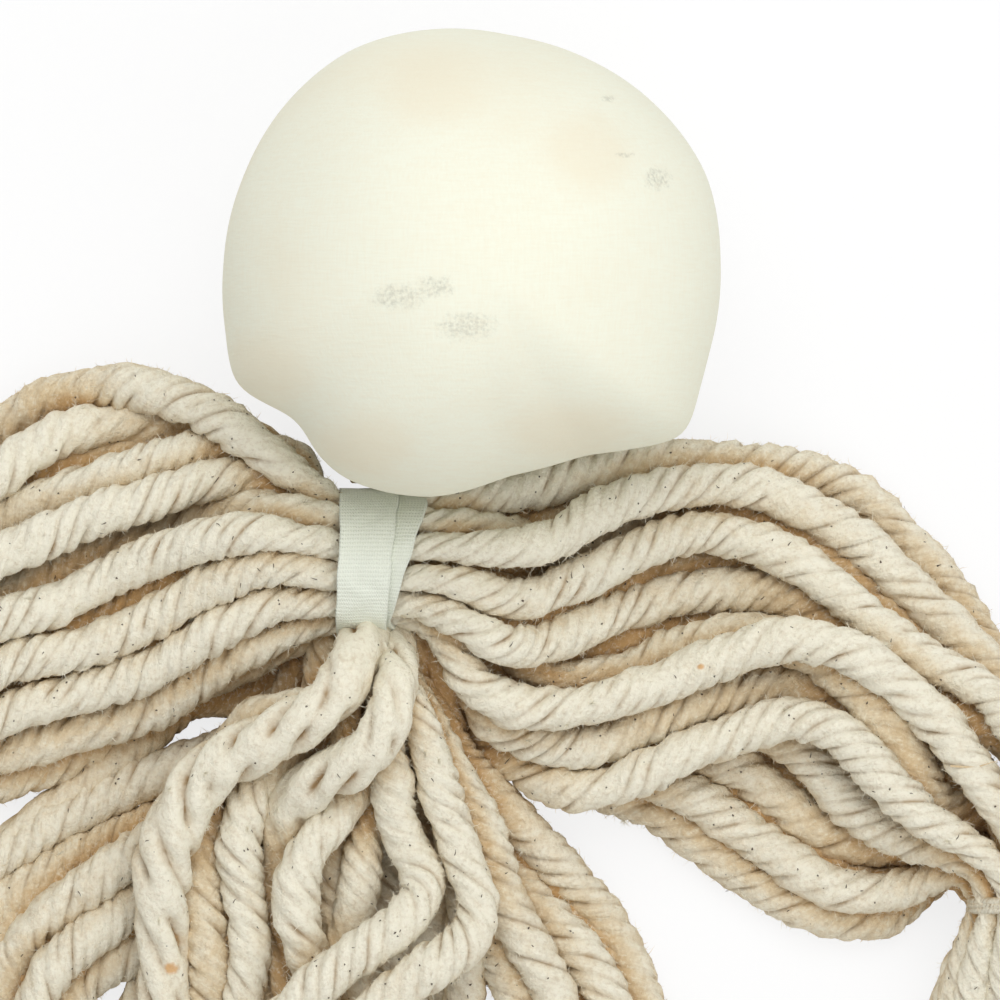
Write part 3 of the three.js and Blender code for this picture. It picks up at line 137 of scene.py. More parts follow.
class Shader:
    """A material under construction: its node tree and its main surface."""

    def __init__(self, name: str) -> None:
        """Starts an empty material of that name.

        Args:
            name: the material's name.
        """
        self.material = bpy.data.materials.new(name)
        self.material.use_nodes = True
        self.tree = self.material.node_tree
        self.surface = self.tree.nodes["Principled BSDF"]

    def node(
        self, kind: str, settings: dict[str, object], inputs: dict[object, object],
        output: object = 0,
    ) -> Wire:
        """Adds a node.

        Args:
            kind: the node's type.
            settings: its properties, set before its sockets.
            inputs: values or wires by socket name or number.
            output: the name or number of the socket to return.

        Returns:
            The chosen output.
        """
        made = self.tree.nodes.new(kind)
        for name, value in settings.items():
            setattr(made, name, value)
        for key, value in inputs.items():
            self.feed(made.inputs[key], value)
        return Wire(self, made.outputs[output])

    def feed(self, socket: bpy.types.NodeSocket, value: object) -> None:
        """Links a wire to a socket, or sets the socket's own value.

        Args:
            socket: the input to feed.
            value: a wire, a number or a colour.
        """
        if isinstance(value, Wire):
            self.tree.links.new(value.socket, socket)
        elif isinstance(value, tuple) and len(value) == 3 and socket.type == "RGBA":
            socket.default_value = (*value, 1.0)
        else:
            socket.default_value = value

    def math(self, operation: str, first: object, second: object = 0.0) -> Wire:
        """One Math node over two values."""
        return self.node("ShaderNodeMath", {"operation": operation}, {0: first, 1: second})

    def vector(self, operation: str, inputs: dict[object, object], output: object = 0) -> Wire:
        """One Vector Math node."""
        return self.node("ShaderNodeVectorMath", {"operation": operation}, inputs, output)

    def place(self, scale: tuple[float, float, float] = (1, 1, 1), uv: str = "") -> Wire:
        """Object coordinates, or a named UV map, times a scale.

        Args:
            scale: factor on each axis.
            uv: the UV map's name, or nothing.

        Returns:
            The scaled coordinates.
        """
        if uv:
            start = self.node("ShaderNodeUVMap", {"uv_map": uv}, {})
        else:
            start = self.node("ShaderNodeTexCoord", {}, {}, "Object")
        return self.node("ShaderNodeMapping", {}, {"Vector": start, "Scale": scale}, "Vector")

    def noise(self, vector: Wire, scale: float, detail: float = 3.0, rough: float = 0.5) -> Wire:
        """Noise from 0 to 1 round a half."""
        inputs = {"Vector": vector, "Scale": scale, "Detail": detail, "Roughness": rough}
        return self.node("ShaderNodeTexNoise", {}, inputs)

    def ramp(
        self, value: object, low: float, high: float, start: float = 0.0, end: float = 1.0
    ) -> Wire:
        """Moves a value smoothly from start to end as it goes from low to high."""
        inputs = {"Value": value, "From Min": low, "From Max": high, "To Min": start, "To Max": end}
        return self.node("ShaderNodeMapRange", {"interpolation_type": "SMOOTHSTEP"}, inputs)

    def mix(self, share: object, first: object, second: object) -> Wire:
        """Mixes two colours."""
        colours = {0: share, 6: first, 7: second}
        return self.node("ShaderNodeMix", {"data_type": "RGBA"}, colours, 2)

    def attribute(self, name: str) -> Wire:
        """A number that the mesh carries at each vertex."""
        return self.node("ShaderNodeAttribute", {"attribute_name": name}, {}, "Fac")

    def spots(
        self, place: Wire, spots: tuple[Spot, ...], level: tuple[float, float],
        ragged: Wire, tear: float,
    ) -> Wire:
        """Soft spots at places on the doll's back.

        Args:
            place: object coordinates.
            spots: where they are and how large.
            level: their height over the floor and the half thickness of the layer that they mark,
                in millimetres.
            ragged: noise that tears their edges.
            tear: how far it tears them.

        Returns:
            0 outside the spots and 1 within.
        """
        total: Wire | None = None
        for x, y, wide, high in spots:
            middle = (x * MM, y * MM, level[0] * MM)
            scale = (1 / (wide * MM), 1 / (high * MM), 1 / (level[1] * MM))
            offset = self.vector("SUBTRACT", {0: place, 1: middle})
            scaled = self.vector("MULTIPLY", {0: offset, 1: scale})
            away = self.vector("LENGTH", {0: scaled}, "Value")
            mark = self.ramp(away + (ragged - 0.5) * tear, 0.35, 1.1, 1.0, 0.0)
            total = mark if total is None else self.math("MAXIMUM", total, mark)
        return total

    def bump(self, height: Wire, depth: float, strength: float = 1.0) -> Wire:
        """A normal tilted by a height from 0 to 1 that stands for a depth in metres."""
        inputs = {"Height": height, "Distance": depth, "Strength": strength}
        return self.node("ShaderNodeBump", {}, inputs)

    def finish(self, colour: Wire, normal: Wire, constants: dict[str, float]) -> bpy.types.Material:
        """Feeds the surface.

        Args:
            colour: the base colour.
            normal: the tilted normal.
            constants: values set on the surface's own sockets.

        Returns:
            The material.
        """
        self.feed(self.surface.inputs["Base Color"], colour)
        self.feed(self.surface.inputs["Normal"], normal)
        for name, value in constants.items():
            self.feed(self.surface.inputs[name], value)
        return self.material


@dataclass(frozen=True)
class CottonFinish:
    """Unbleached spun cotton with seed specks: creamy, with painted shade that turns it tan and
    brown deep in the heap and darker in its grooves.

    The fields that end in scale are noise scales, in spots per metre.
    """

    name: str = "spun_cotton"
    cream: Colour = srgb(248, 243, 224)
    # tan and brown stand for painted shade where other yarns cover a yarn, where it faces down or
    # lies low, as well as for its random tone.
    tan: Colour = srgb(226, 205, 168)
    brown: Colour = srgb(202, 163, 112)
    # Painted shade in the grooves between plies and between fibres.
    groove: Colour = srgb(178, 148, 108)
    speck: Colour = srgb(70, 52, 38)
    stain: Colour = srgb(214, 150, 60)
    stains: tuple[Spot, ...] = ((-31.2, -61.4, 1.3, 1.0), (48.0, -16.0, 0.7, 0.5))
    stain_level: tuple[float, float] = (16.0, 40.0)
    stain_strength: float = 0.7
    tone_scale: float = 75.0
    mottle_scale: float = 480.0
    grain_scale: float = 1250.0
    wear_scale: float = 300.0
    ragged_scale: float = 900.0
    lump_scale: float = 850.0
    streak_scale: tuple[float, float, float] = (1500.0, 560.0, 1.0)
    relief: float = 0.62 * MM
    speck_spacing: float = 2.1 * MM
    speck_share: float = 0.28
    speck_strength: float = 0.7
    roughness: float = 0.95
    shine: float = 0.05

    def build(self) -> bpy.types.Material:
        """Makes the material.

        Returns:
            The material.
        """
        shader = Shader(self.name)
        place = shader.place()
        streaks = shader.noise(shader.place(self.streak_scale, uv="strand"), 1.0, 4.0, 0.6)
        grain = shader.noise(place, self.grain_scale, 5.0, 0.7)
        colour = self.fibres(shader, self.depths(shader, place), streaks * 0.35 + grain * 0.65)
        patchy = shader.ramp(shader.noise(place, self.wear_scale, 3.0), 0.35, 0.65, 0.4, 1.0)
        # Painted shade in the grooves between plies, broken into patches.
        colour = shader.mix(shader.attribute("groove") * patchy, colour, self.groove)
        ragged = shader.noise(place, self.ragged_scale, 3.0)
        spots = shader.spots(place, self.stains, self.stain_level, ragged, 1.2)
        colour = shader.mix(spots * self.stain_strength, colour, self.stain)
        colour = shader.mix(self.specks(shader, place), colour, self.speck)
        lumps = shader.noise(place, self.lump_scale, 5.0, 0.7)
        normal = shader.bump(streaks * 0.3 + lumps + grain * 0.4, self.relief)
        constants = {"Roughness": self.roughness, "Specular IOR Level": self.shine}
        return shader.finish(colour, normal, constants)

    def depths(self, shader: Shader, place: Wire) -> Wire:
        """Painted shade: cream on top of the heap, tan further down and brown at the bottom,
        unevenly.

        Args:
            shader: the material under construction.
            place: object coordinates.

        Returns:
            The colour before its fibres.
        """
        depth = shader.attribute("tint")
        tone = shader.noise(place, self.tone_scale, 4.0) - 0.5
        mottle = shader.noise(place, self.mottle_scale, 5.0, 0.65) - 0.5
        upper = shader.ramp(depth + tone * 0.5 + mottle * 0.7, 0.05, 0.8)
        lower = shader.ramp(depth + mottle * 0.6, 0.6, 1.15)
        return shader.mix(lower, shader.mix(upper, self.cream, self.tan), self.brown)

    def fibres(self, shader: Shader, colour: Wire, pattern: Wire) -> Wire:
        """The colour with fine fibres: shaded between them, pale on them."""
        colour = shader.mix(shader.ramp(pattern, 0.46, 0.66, 0.0, 0.28), colour, self.groove)
        return shader.mix(shader.ramp(pattern, 0.5, 0.36, 0.0, 0.5), colour, self.cream)

    def specks(self, shader: Shader, place: Wire) -> Wire:
        """Sparse bits of seed hull caught in the cotton, and the flecks of the mesh.

        Args:
            shader: the material under construction.
            place: object coordinates.

        Returns:
            0 on clean cotton and up to 1 on a speck.
        """
        ragged = shader.noise(place, 2600.0, 2.0)
        settings = {"feature": "F1"}
        inputs = {"Vector": place, "Scale": 1 / self.speck_spacing, "Randomness": 1.0}
        near = shader.node("ShaderNodeTexVoronoi", settings, inputs, "Distance")
        pick = shader.node("ShaderNodeTexVoronoi", settings, inputs, "Color")
        part = shader.node("ShaderNodeSeparateColor", {}, {"Color": pick}, "Red")
        chosen = part > 1 - self.speck_share
        mark = shader.ramp(near + ragged * 0.09, 0.06, 0.13, 1.0, 0.0) * chosen
        return shader.math("MAXIMUM", mark * self.speck_strength, shader.attribute("fleck"))


@dataclass(frozen=True)
class MuslinFinish:
    """Fine plain-woven muslin with faint soiling."""

    name: str = "worn_muslin"
    cloth: Colour = srgb(236, 237, 220)
    warm: Colour = srgb(233, 224, 200)
    smudge: Colour = srgb(112, 110, 98)
    thread: float = 0.4 * MM
    thread_run: float = 3.2 * MM
    relief: float = 0.12 * MM
    roughness: float = 0.9
    shine: float = 0.1
    smudge_strength: float = 0.34
    stain_strength: float = 0.55
    back_level: tuple[float, float] = (70, 60)
    smudges: tuple[Spot, ...] = (
        (41.3, 56.5, 2.4, 2.0), (3.2, 38.9, 4.6, 2.2), (8.6, 40.4, 3.4, 1.8),
        (13.0, 34.6, 5.0, 2.4), (34.0, 68.5, 1.2, 0.7), (36.5, 60.0, 1.6, 0.5),
    )
    stains: tuple[Spot, ...] = (
        (8.0, 70.0, 11.0, 8.0), (-17.0, 28.0, 9.0, 8.0), (28.0, 19.0, 12.0, 6.0),
        (-3.0, 17.0, 10.0, 6.0), (31.0, 60.0, 8.0, 8.0),
    )

    def build(self) -> bpy.types.Material:
        """Makes the material.

        Returns:
            The material.
        """
        shader = Shader(self.name)
        place = shader.place()
        tone = shader.ramp(shader.noise(place, 30.0, 4.0), 0.45, 0.8, 0.0, 0.55)
        colour = shader.mix(tone, self.cloth, self.warm)
        soft = shader.noise(place, 120.0, 4.0, 0.6)
        stained = shader.spots(place, self.stains, self.back_level, soft, 0.9)
        colour = shader.mix(stained * self.stain_strength, colour, self.warm)
        ragged = shader.noise(place, 900.0, 4.0, 0.7)
        rubbed = shader.spots(place, self.smudges, self.back_level, ragged, 1.6)
        grain = shader.ramp(shader.noise(place, 1900.0, 2.0), 0.25, 0.75)
        colour = shader.mix(rubbed * grain * self.smudge_strength, colour, self.smudge)
        threads = self.threads(shader)
        colour = shader.mix(shader.ramp(threads, 0.3, 0.75, 0.0, 0.35), colour, self.warm)
        normal = shader.bump(threads, self.relief, 0.8)
        constants = {"Roughness": self.roughness, "Specular IOR Level": self.shine}
        return shader.finish(colour, normal, constants)

    def threads(self, shader: Shader) -> Wire:
        """Uneven threads that cross: long soft streaks two ways.

        Args:
            shader: the material under construction.

        Returns:
            The threads' height, from 0 to 1.
        """
        long, short = 1 / self.thread_run, 1 / self.thread
        warp = shader.noise(shader.place((short, long, short)), 1.0, 2.0)
        weft = shader.noise(shader.place((long, short, long)), 1.0, 2.0)
        return (warp + weft) * 0.5


@dataclass(frozen=True)
class TapeFinish:
    """Bleached cotton tape: a close weave with a firm edge."""

    name: str = "woven_tape"
    cloth: Colour = srgb(236, 240, 227)
    dull: Colour = srgb(214, 219, 204)
    ends_per_width: float = 21.0
    picks_per_length: float = 116.0
    relief: float = 0.2 * MM
    roughness: float = 0.85
    sheen: float = 0.1
    shine: float = 0.25

    def build(self) -> bpy.types.Material:
        """Makes the material.

        Returns:
            The material.
        """
        shader = Shader(self.name)
        weave = self.weave(shader)
        colour = shader.mix(shader.ramp(weave, 0.0, 0.6, 0.3, 1.0), self.dull, self.cloth)
        soil = shader.ramp(shader.noise(shader.place(), 200.0, 4.0), 0.52, 0.8, 0.0, 0.4)
        colour = shader.mix(soil, colour, self.dull)
        fuzz = shader.noise(shader.place(), 2600.0, 3.0)
        normal = shader.bump(weave * 0.85 + fuzz * 0.4, self.relief, 0.9)
        return shader.finish(colour, normal, {
            "Roughness": self.roughness, "Sheen Weight": self.sheen,
            "Specular IOR Level": self.shine,
        })

    def weave(self, shader: Shader) -> Wire:
        """Height of the crossing threads, which lie a little unevenly.

        Args:
            shader: the material under construction.

        Returns:
            The height, from 0 to 1.
        """
        cloth = shader.place(uv="UVMap")
        along = shader.node("ShaderNodeSeparateXYZ", {}, {"Vector": cloth}, "X")
        across = shader.node("ShaderNodeSeparateXYZ", {}, {"Vector": cloth}, "Y")
        uneven = (shader.noise(shader.place(), 700.0, 2.0) - 0.5) * 1.6
        pick = (along * (TURN * self.picks_per_length) + uneven).sine()
        end = (across * (TURN * self.ends_per_width) + uneven).sine()
        return pick * end * 0.26 + pick * 0.24 + 0.5


@dataclass(frozen=True)
class FloorFinish:
    """A plain white floor that the camera sees almost evenly lit."""

    name: str = "white_floor"
    white: Colour = (0.9, 0.9, 0.9)
    evenness: float = 0.8

    def build(self) -> bpy.types.Material:
        """Makes the material.

        Returns:
            The material.
        """
        shader = Shader(self.name)
        plain = {"Base Color": self.white, "Roughness": 1.0, "Specular IOR Level": 0.0}
        for name, value in plain.items():
            shader.feed(shader.surface.inputs[name], value)
        glow = shader.node("ShaderNodeEmission", {}, {"Color": (1.0, 1.0, 1.0), "Strength": 1.0})
        seen = shader.node("ShaderNodeLightPath", {}, {}, "Is Camera Ray")
        both = shader.node("ShaderNodeMixShader", {}, {
            0: seen * self.evenness, 1: Wire(shader, shader.surface.outputs[0]), 2: glow})
        output = shader.tree.nodes["Material Output"]
        shader.feed(output.inputs["Surface"], both)
        return shader.material


class Finish(Enum):
    """Finishes of the doll's pieces."""

    COTTON = CottonFinish()
    MUSLIN = MuslinFinish()
    TAPE = TapeFinish()
    FLOOR = FloorFinish()

    def material(self) -> bpy.types.Material:
        """The one material of this finish, made when first asked for."""
        made = bpy.data.materials.get(self.value.name)
        return made if made is not None else self.value.build()


@dataclass
class Path:
    """A centre line with the half thickness at each of its points."""

    points: np.ndarray
    radii: np.ndarray

    @property
    def run(self) -> np.ndarray:
        """Distance along the line to each point."""
        steps = np.linalg.norm(np.diff(self.points, axis=0), axis=1)
        return np.concatenate([[0.0], np.cumsum(steps)])

    def at(self, along: np.ndarray) -> "Path":
        """The line read at distances along it, on straight stretches.

        Args:
            along: the distances.

        Returns:
            The line through those places.
        """
        run = self.run
        points = np.stack([np.interp(along, run, self.points[:, i]) for i in range(3)], axis=1)
        return Path(points, np.interp(along, run, self.radii))

    def rounded(self, step: float) -> "Path":
        """A smooth line through the points.

        Args:
            step: distance between the new points.

        Returns:
            The line with even steps.
        """
        points, run = self.points, self.run
        slope = np.empty_like(points)
        slope[0] = (points[1] - points[0]) / (run[1] - run[0])
        slope[-1] = (points[-1] - points[-2]) / (run[-1] - run[-2])
        ahead = (run[2:] - run[1:-1])[:, None]
        behind = (run[1:-1] - run[:-2])[:, None]
        rise = (points[2:] - points[1:-1]) / ahead
        fall = (points[1:-1] - points[:-2]) / behind
        slope[1:-1] = (rise * behind + fall * ahead) / (ahead + behind)
        fine = np.linspace(0.0, run[-1], max(int(run[-1] / (step * 0.25)), 8))
        k = np.clip(np.searchsorted(run, fine, side="right") - 1, 0, len(run) - 2)
        span = (run[k + 1] - run[k])[:, None]
        t = ((fine - run[k])[:, None]) / span
        curve = (
            (2 * t**3 - 3 * t**2 + 1) * points[k]
            + (t**3 - 2 * t**2 + t) * span * slope[k]
            + (-2 * t**3 + 3 * t**2) * points[k + 1]
            + (t**3 - t**2) * span * slope[k + 1]
        )
        dense = Path(curve, np.interp(fine, run, self.radii))
        length = dense.run[-1]
        return dense.at(np.linspace(0.0, length, max(int(length / step), 6) + 1))

    def eased(self, reach: float) -> "Path":
        """The line with its sharp bends eased over a reach, its two ends kept.

        Args:
            reach: about how far each point is averaged along the line.

        Returns:
            The eased line.
        """
        step = self.run[-1] / (len(self.points) - 1)
        half = min(int(3 * reach / step), len(self.points) - 1)
        weights = np.exp(-0.5 * (np.arange(-half, half + 1) * step / reach) ** 2)
        weights /= weights.sum()
        before = 2 * self.points[0] - self.points[half:0:-1]
        after = 2 * self.points[-1] - self.points[-2:-half - 2:-1]
        padded = np.concatenate([before, self.points, after])
        eased = [np.convolve(padded[:, i], weights, mode="valid") for i in range(3)]
        return Path(np.stack(eased, axis=1), self.radii)

    def beside(self, other: "Path", share: np.ndarray, drop: float, radius: float) -> "Path":
        """A line between two lines and below both.

        Args:
            other: the second line.
            share: the second line's share, at even steps from start to end.
            drop: how far below the lower line's centre it runs.
            radius: its half thickness.

        Returns:
            The line.
        """
        steps = np.linspace(0.0, 1.0, len(share))
        first = self.at(steps * self.run[-1]).points
        second = other.at(steps * other.run[-1]).points
        points = first * (1 - share[:, None]) + second * share[:, None]
        points[:, 2] = np.maximum(np.minimum(first[:, 2], second[:, 2]) - drop, radius)
        return Path(points, np.full(len(points), radius))

    def extended(self, before: Sequence[Sequence[float]], radius: float) -> "Path":
        """The line with points added before its start, all of one half thickness.

        Args:
            before: the points, outermost first.
            radius: their half thickness.

        Returns:
            The longer line.
        """
        if len(before) == 0:
            return self
        points = np.vstack([np.array(before, float), self.points])
        radii = np.concatenate([np.full(len(before), radius), self.radii])
        return Path(points, radii)


def solid_rings(node: str, count: int, lead: Callable[[Vector], float]) -> np.ndarray:
    """Rings of a tube-like solid, from its bound end to its other end.

    Args:
        node: the solid's name.
        count: corners in each ring.
        lead: a measure that is least on the first ring.

    Returns:
        Corner places as rings by corners by three.
    """
    mesh = bmesh.new()
    mesh.from_mesh(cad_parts[node].data)
    bmesh.ops.remove_doubles(mesh, verts=mesh.verts, dist=1e-6)
    ring = sorted(mesh.verts, key=lambda vertex: lead(vertex.co))[:count]
    rings = []
    seen = set()
    while len(ring) == count:
        rings.append([tuple(vertex.co) for vertex in ring])
        seen.update(ring)
        beyond = {edge.other_vert(vertex) for vertex in ring for edge in vertex.link_edges}
        ring = [vertex for vertex in beyond if vertex not in seen]
    mesh.free()
    return np.array(rings)


def solid_path(node: str, lead: Callable[[Vector], float]) -> Path:
    """Centre line of a yarn's eight-sided solid.

    Args:
        node: the solid's name.
        lead: a measure that is least at its bound end.

    Returns:
        The middle and the half thickness of each of its rings.
    """
    rings = solid_rings(node, YARN_CORNERS, lead)
    centres = rings.mean(axis=1)
    radii = np.linalg.norm(rings - centres[:, None, :], axis=2).mean(axis=1)
    return Path(centres, radii)


class Heap:
    """Centre lines of the visible yarns, which tell how deep a place lies among them, for the
    painted shade on the yarns.
    """

    reach = 11.0 * MM
    height = 20.0 * MM
    spacing = 2.0 * MM
    directions = 8
    rows_read = 60
    # Weights of the painted shade: from yarns that lie over a side, on sides that face down, and on
    # yarns that lie low.
    cover_weight = 0.42
    underside_weight = 0.42
    underside_from = 0.62
    depth_weight = 0.3

    def __init__(self, leads: dict[str, Callable[[Vector], float]]) -> None:
        """Reads the centre line of each named solid.

        Args:
            leads: for each solid, a measure that is least at its bound end.
        """
        self.lines: dict[str, np.ndarray] = {}
        for node, lead in leads.items():
            path = solid_path(node, lead)
            count = max(int(path.run[-1] / self.spacing), 4)
            self.lines[node] = path.at(np.linspace(0.0, path.run[-1], count)).points

    def shade(self, points: np.ndarray, side: np.ndarray, up: np.ndarray, node: str) -> np.ndarray:
        """Painted shade on a line's sides: how much yarn covers them, with more on sides that face
        down and on lines that lie low.

        Args:
            points: the line.
            side: its side directions.
            up: its up directions.
            node: the solid that the line stands for, which doesn't cover itself.

        Returns:
            Painted shade from 0 to about 1, by point and by direction round the line.
        """
        others = np.concatenate([line for name, line in self.lines.items() if name != node])
        every = max(len(points) // self.rows_read, 1)
        rows = np.arange(0, len(points), every)
        away = others[None, :, :] - points[rows][:, None, :]
        far = np.linalg.norm(away, axis=2)
        away /= np.maximum(far, MM)[..., None]
        near = np.clip(1 - far / self.reach, 0.0, 1.0) * np.clip(away[..., 2] + 0.2, 0.0, 1.0)
        low = self.depth_weight * np.clip(1 - points[rows, 2] / self.height, 0.0, 1.0)
        cover = []
        for k in range(self.directions):
            turn = TURN * k / self.directions
            way = math.cos(turn) * side[rows] + math.sin(turn) * up[rows]
            facing = np.clip(np.einsum("ijk,ik->ij", away, way), 0.0, 1.0)
            under = np.clip(self.underside_from - way[:, 2], 0.0, 1.0)
            hidden = (near * facing).sum(axis=1) * self.cover_weight + self.underside_weight * under
            cover.append(np.interp(np.arange(len(points)), rows, hidden + low))
        return np.stack(cover, axis=1)


@dataclass
class MeshData:
    """Corners, faces and corner values gathered for one mesh."""

    corners: list[np.ndarray] = field(default_factory=list)
    faces: list[np.ndarray] = field(default_factory=list)
    uv: list[np.ndarray] = field(default_factory=list)
    groove: list[np.ndarray] = field(default_factory=list)
    tint: list[np.ndarray] = field(default_factory=list)
    fleck: list[np.ndarray] = field(default_factory=list)
    count: int = 0

    def add(
        self, corners: np.ndarray, tint: np.ndarray, groove: object = 0.0, fleck: float = 0.0
    ) -> int:
        """Adds corners.

        Args:
            corners: their places.
            tint: how tan each is, with its painted shade.
            groove: how much painted shade of a groove each has.
            fleck: 1 where they belong to a dark fleck.

        Returns:
            The number of the first one.
        """
        first = self.count
        self.corners.append(corners)
        self.tint.append(tint)
        self.groove.append(np.broadcast_to(groove, len(corners)))
        self.fleck.append(np.full(len(corners), fleck))
        self.count += len(corners)
        return first

    def add_faces(self, faces: np.ndarray, uv: np.ndarray | None = None) -> None:
        """Adds faces of one kind, with the texture places of their corners."""
        self.faces.append(faces)
        self.uv.append(np.zeros((*faces.shape, 2)) if uv is None else uv)

    def mesh(self, name: str) -> bpy.types.Mesh:
        """Makes the mesh of all that was added.

        Args:
            name: the mesh's name.

        Returns:
            The mesh, with its values as attributes.
        """
        corners = np.concatenate(self.corners)
        sizes = np.concatenate([np.full(len(part), part.shape[1]) for part in self.faces])
        order = np.concatenate([part.ravel() for part in self.faces])
        made = bpy.data.meshes.new(name)
        made.vertices.add(len(corners))
        made.vertices.foreach_set("co", corners.astype(np.float32).ravel())
        made.loops.add(len(order))
        made.loops.foreach_set("vertex_index", order.astype(np.int32))
        made.polygons.add(len(sizes))
        starts = np.concatenate([[0], np.cumsum(sizes)[:-1]])
        made.polygons.foreach_set("loop_start", starts.astype(np.int32))
        made.update(calc_edges=True)
        layer = made.uv_layers.new(name="strand")
        places = np.concatenate([part.reshape(-1, 2) for part in self.uv])
        layer.data.foreach_set("uv", places.astype(np.float32).ravel())
        for key, values in (("groove", self.groove), ("tint", self.tint), ("fleck", self.fleck)):
            held = made.attributes.new(key, "FLOAT", "POINT")
            held.data.foreach_set("value", np.concatenate(values).astype(np.float32))
        made.polygons.foreach_set("use_smooth", np.ones(len(sizes), bool))
        return made


@dataclass(frozen=True)
class Spin:
    """How a yarn is spun: its plies, their twist and its fuzz.

    The noise fields are heights in millimetres of lumps that grow finer from the first to the last.
    """

    plies: int = 5
    twist_length: float = 16.0 * MM
    twist_range: tuple[float, float] = (0.88, 1.14)
    slack: float = 0.12
    slack_spacing: float = 14.0 * MM
    ply_depth: float = 0.19
    ply_round: float = 2.4
    ply_swell: float = 0.05
    ply_spacing: float = 3.4 * MM
    # How dark the painted shade in the grooves between plies is.
    groove: float = 0.5
    sides_per_ply: int = 6
    step: float = 0.8 * MM
    fuzz_per_metre: float = 24000.0
    fuzz_length: float = 1.0 * MM
    fuzz_limit: float = 1.3 * MM
    fuzz_width: float = 0.035 * MM
    flecks_per_metre: float = 620.0
    tufts_per_metre: float = 60.0
    fibres_per_tuft: int = 26
    fluff: float = 1.0
    noise: tuple[float, float, float] = (0.11, 0.11, 0.07)
    wander: float = 0.14 * MM
    wander_spacing: float = 9.0 * MM
    free_radius: float = 2.6 * MM
    lumps: float = 0.07
    lump_spacing: float = 5.0 * MM
    small_lumps: float = 0.6
    small_lump_spacing: float = 2.2 * MM
    plump: float = 1.12
    ease: float = 4.0 * MM


VISIBLE_SPIN = Spin()
BURIED_SPIN = Spin(sides_per_ply=4, step=1.45 * MM, fuzz_per_metre=1200.0, tufts_per_metre=0.0)
TIE_SPIN = Spin(
    plies=4, sides_per_ply=8, twist_length=34.0 * MM, ply_depth=0.34, ply_round=1.9, groove=0.9,
    lumps=0.03, fluff=0.6,
)
WAIST_SPIN = Spin(twist_length=9.0 * MM, fuzz_per_metre=3000.0)
THREAD_SPIN = Spin(
    plies=3, twist_length=2.6 * MM, ply_depth=0.16, step=0.3 * MM, fuzz_per_metre=600.0,
    fuzz_length=0.3 * MM, fuzz_width=0.02 * MM, flecks_per_metre=0.0, tufts_per_metre=0.0,
    fluff=0.12, wander=0.02 * MM, ease=0.4 * MM,
)


def soft_noise(random: np.random.Generator, rows: int, sides: int, passes: int) -> np.ndarray:
    """Random values round a ring-wise skin, smoother after more passes, spread about 1.

    Args:
        random: where the values are drawn.
        rows: how many rings.
        sides: how many corners each ring has.
        passes: how often it is smoothed.

    Returns:
        The values by ring and corner.
    """
    noise = random.normal(size=(rows, sides))
    for _ in range(passes):
        around = np.roll(noise, 1, axis=1) + np.roll(noise, -1, axis=1)
        noise = (noise + around + np.roll(noise, 1, axis=0) + np.roll(noise, -1, axis=0)) / 5
    return noise / noise.std()


class Wave:
    """A smooth seeded random value along a distance."""

    def __init__(self, random: np.random.Generator, length: float, spacing: float) -> None:
        """Draws knots over a length at a spacing."""
        self.spacing = spacing
        self.knots = random.uniform(-1.0, 1.0, int(length / spacing) + 6)

    def at(self, along: np.ndarray) -> np.ndarray:
        """Values from -1 to 1 at distances along.

        Args:
            along: the distances.

        Returns:
            One value for each.
        """
        place = np.maximum(along / self.spacing, 0.0)
        k = np.minimum(place.astype(int), len(self.knots) - 2)
        t = place - k
        ease = t * t * (3 - 2 * t)
        return self.knots[k] * (1 - ease) + self.knots[k + 1] * ease


def turned_frames(points: np.ndarray) -> tuple[np.ndarray, np.ndarray, np.ndarray]:
    """Directions along and square to a line, carried along it without turning round it.

    Args:
        points: the line.

    Returns:
        Forward, side and up directions at each point.
    """
    forward = np.gradient(points, axis=0)
    forward /= np.linalg.norm(forward, axis=1)[:, None]
    side = np.empty_like(points)
    start = np.cross(UP, forward[0])
    if np.linalg.norm(start) < 0.1:
        start = np.cross(np.array([0.0, 1.0, 0.0]), forward[0])
    side[0] = start / np.linalg.norm(start)
    for i in range(1, len(points)):
        carried = side[i - 1] - forward[i] * np.dot(side[i - 1], forward[i])
        side[i] = carried / np.linalg.norm(carried)
    return forward, side, np.cross(forward, side)


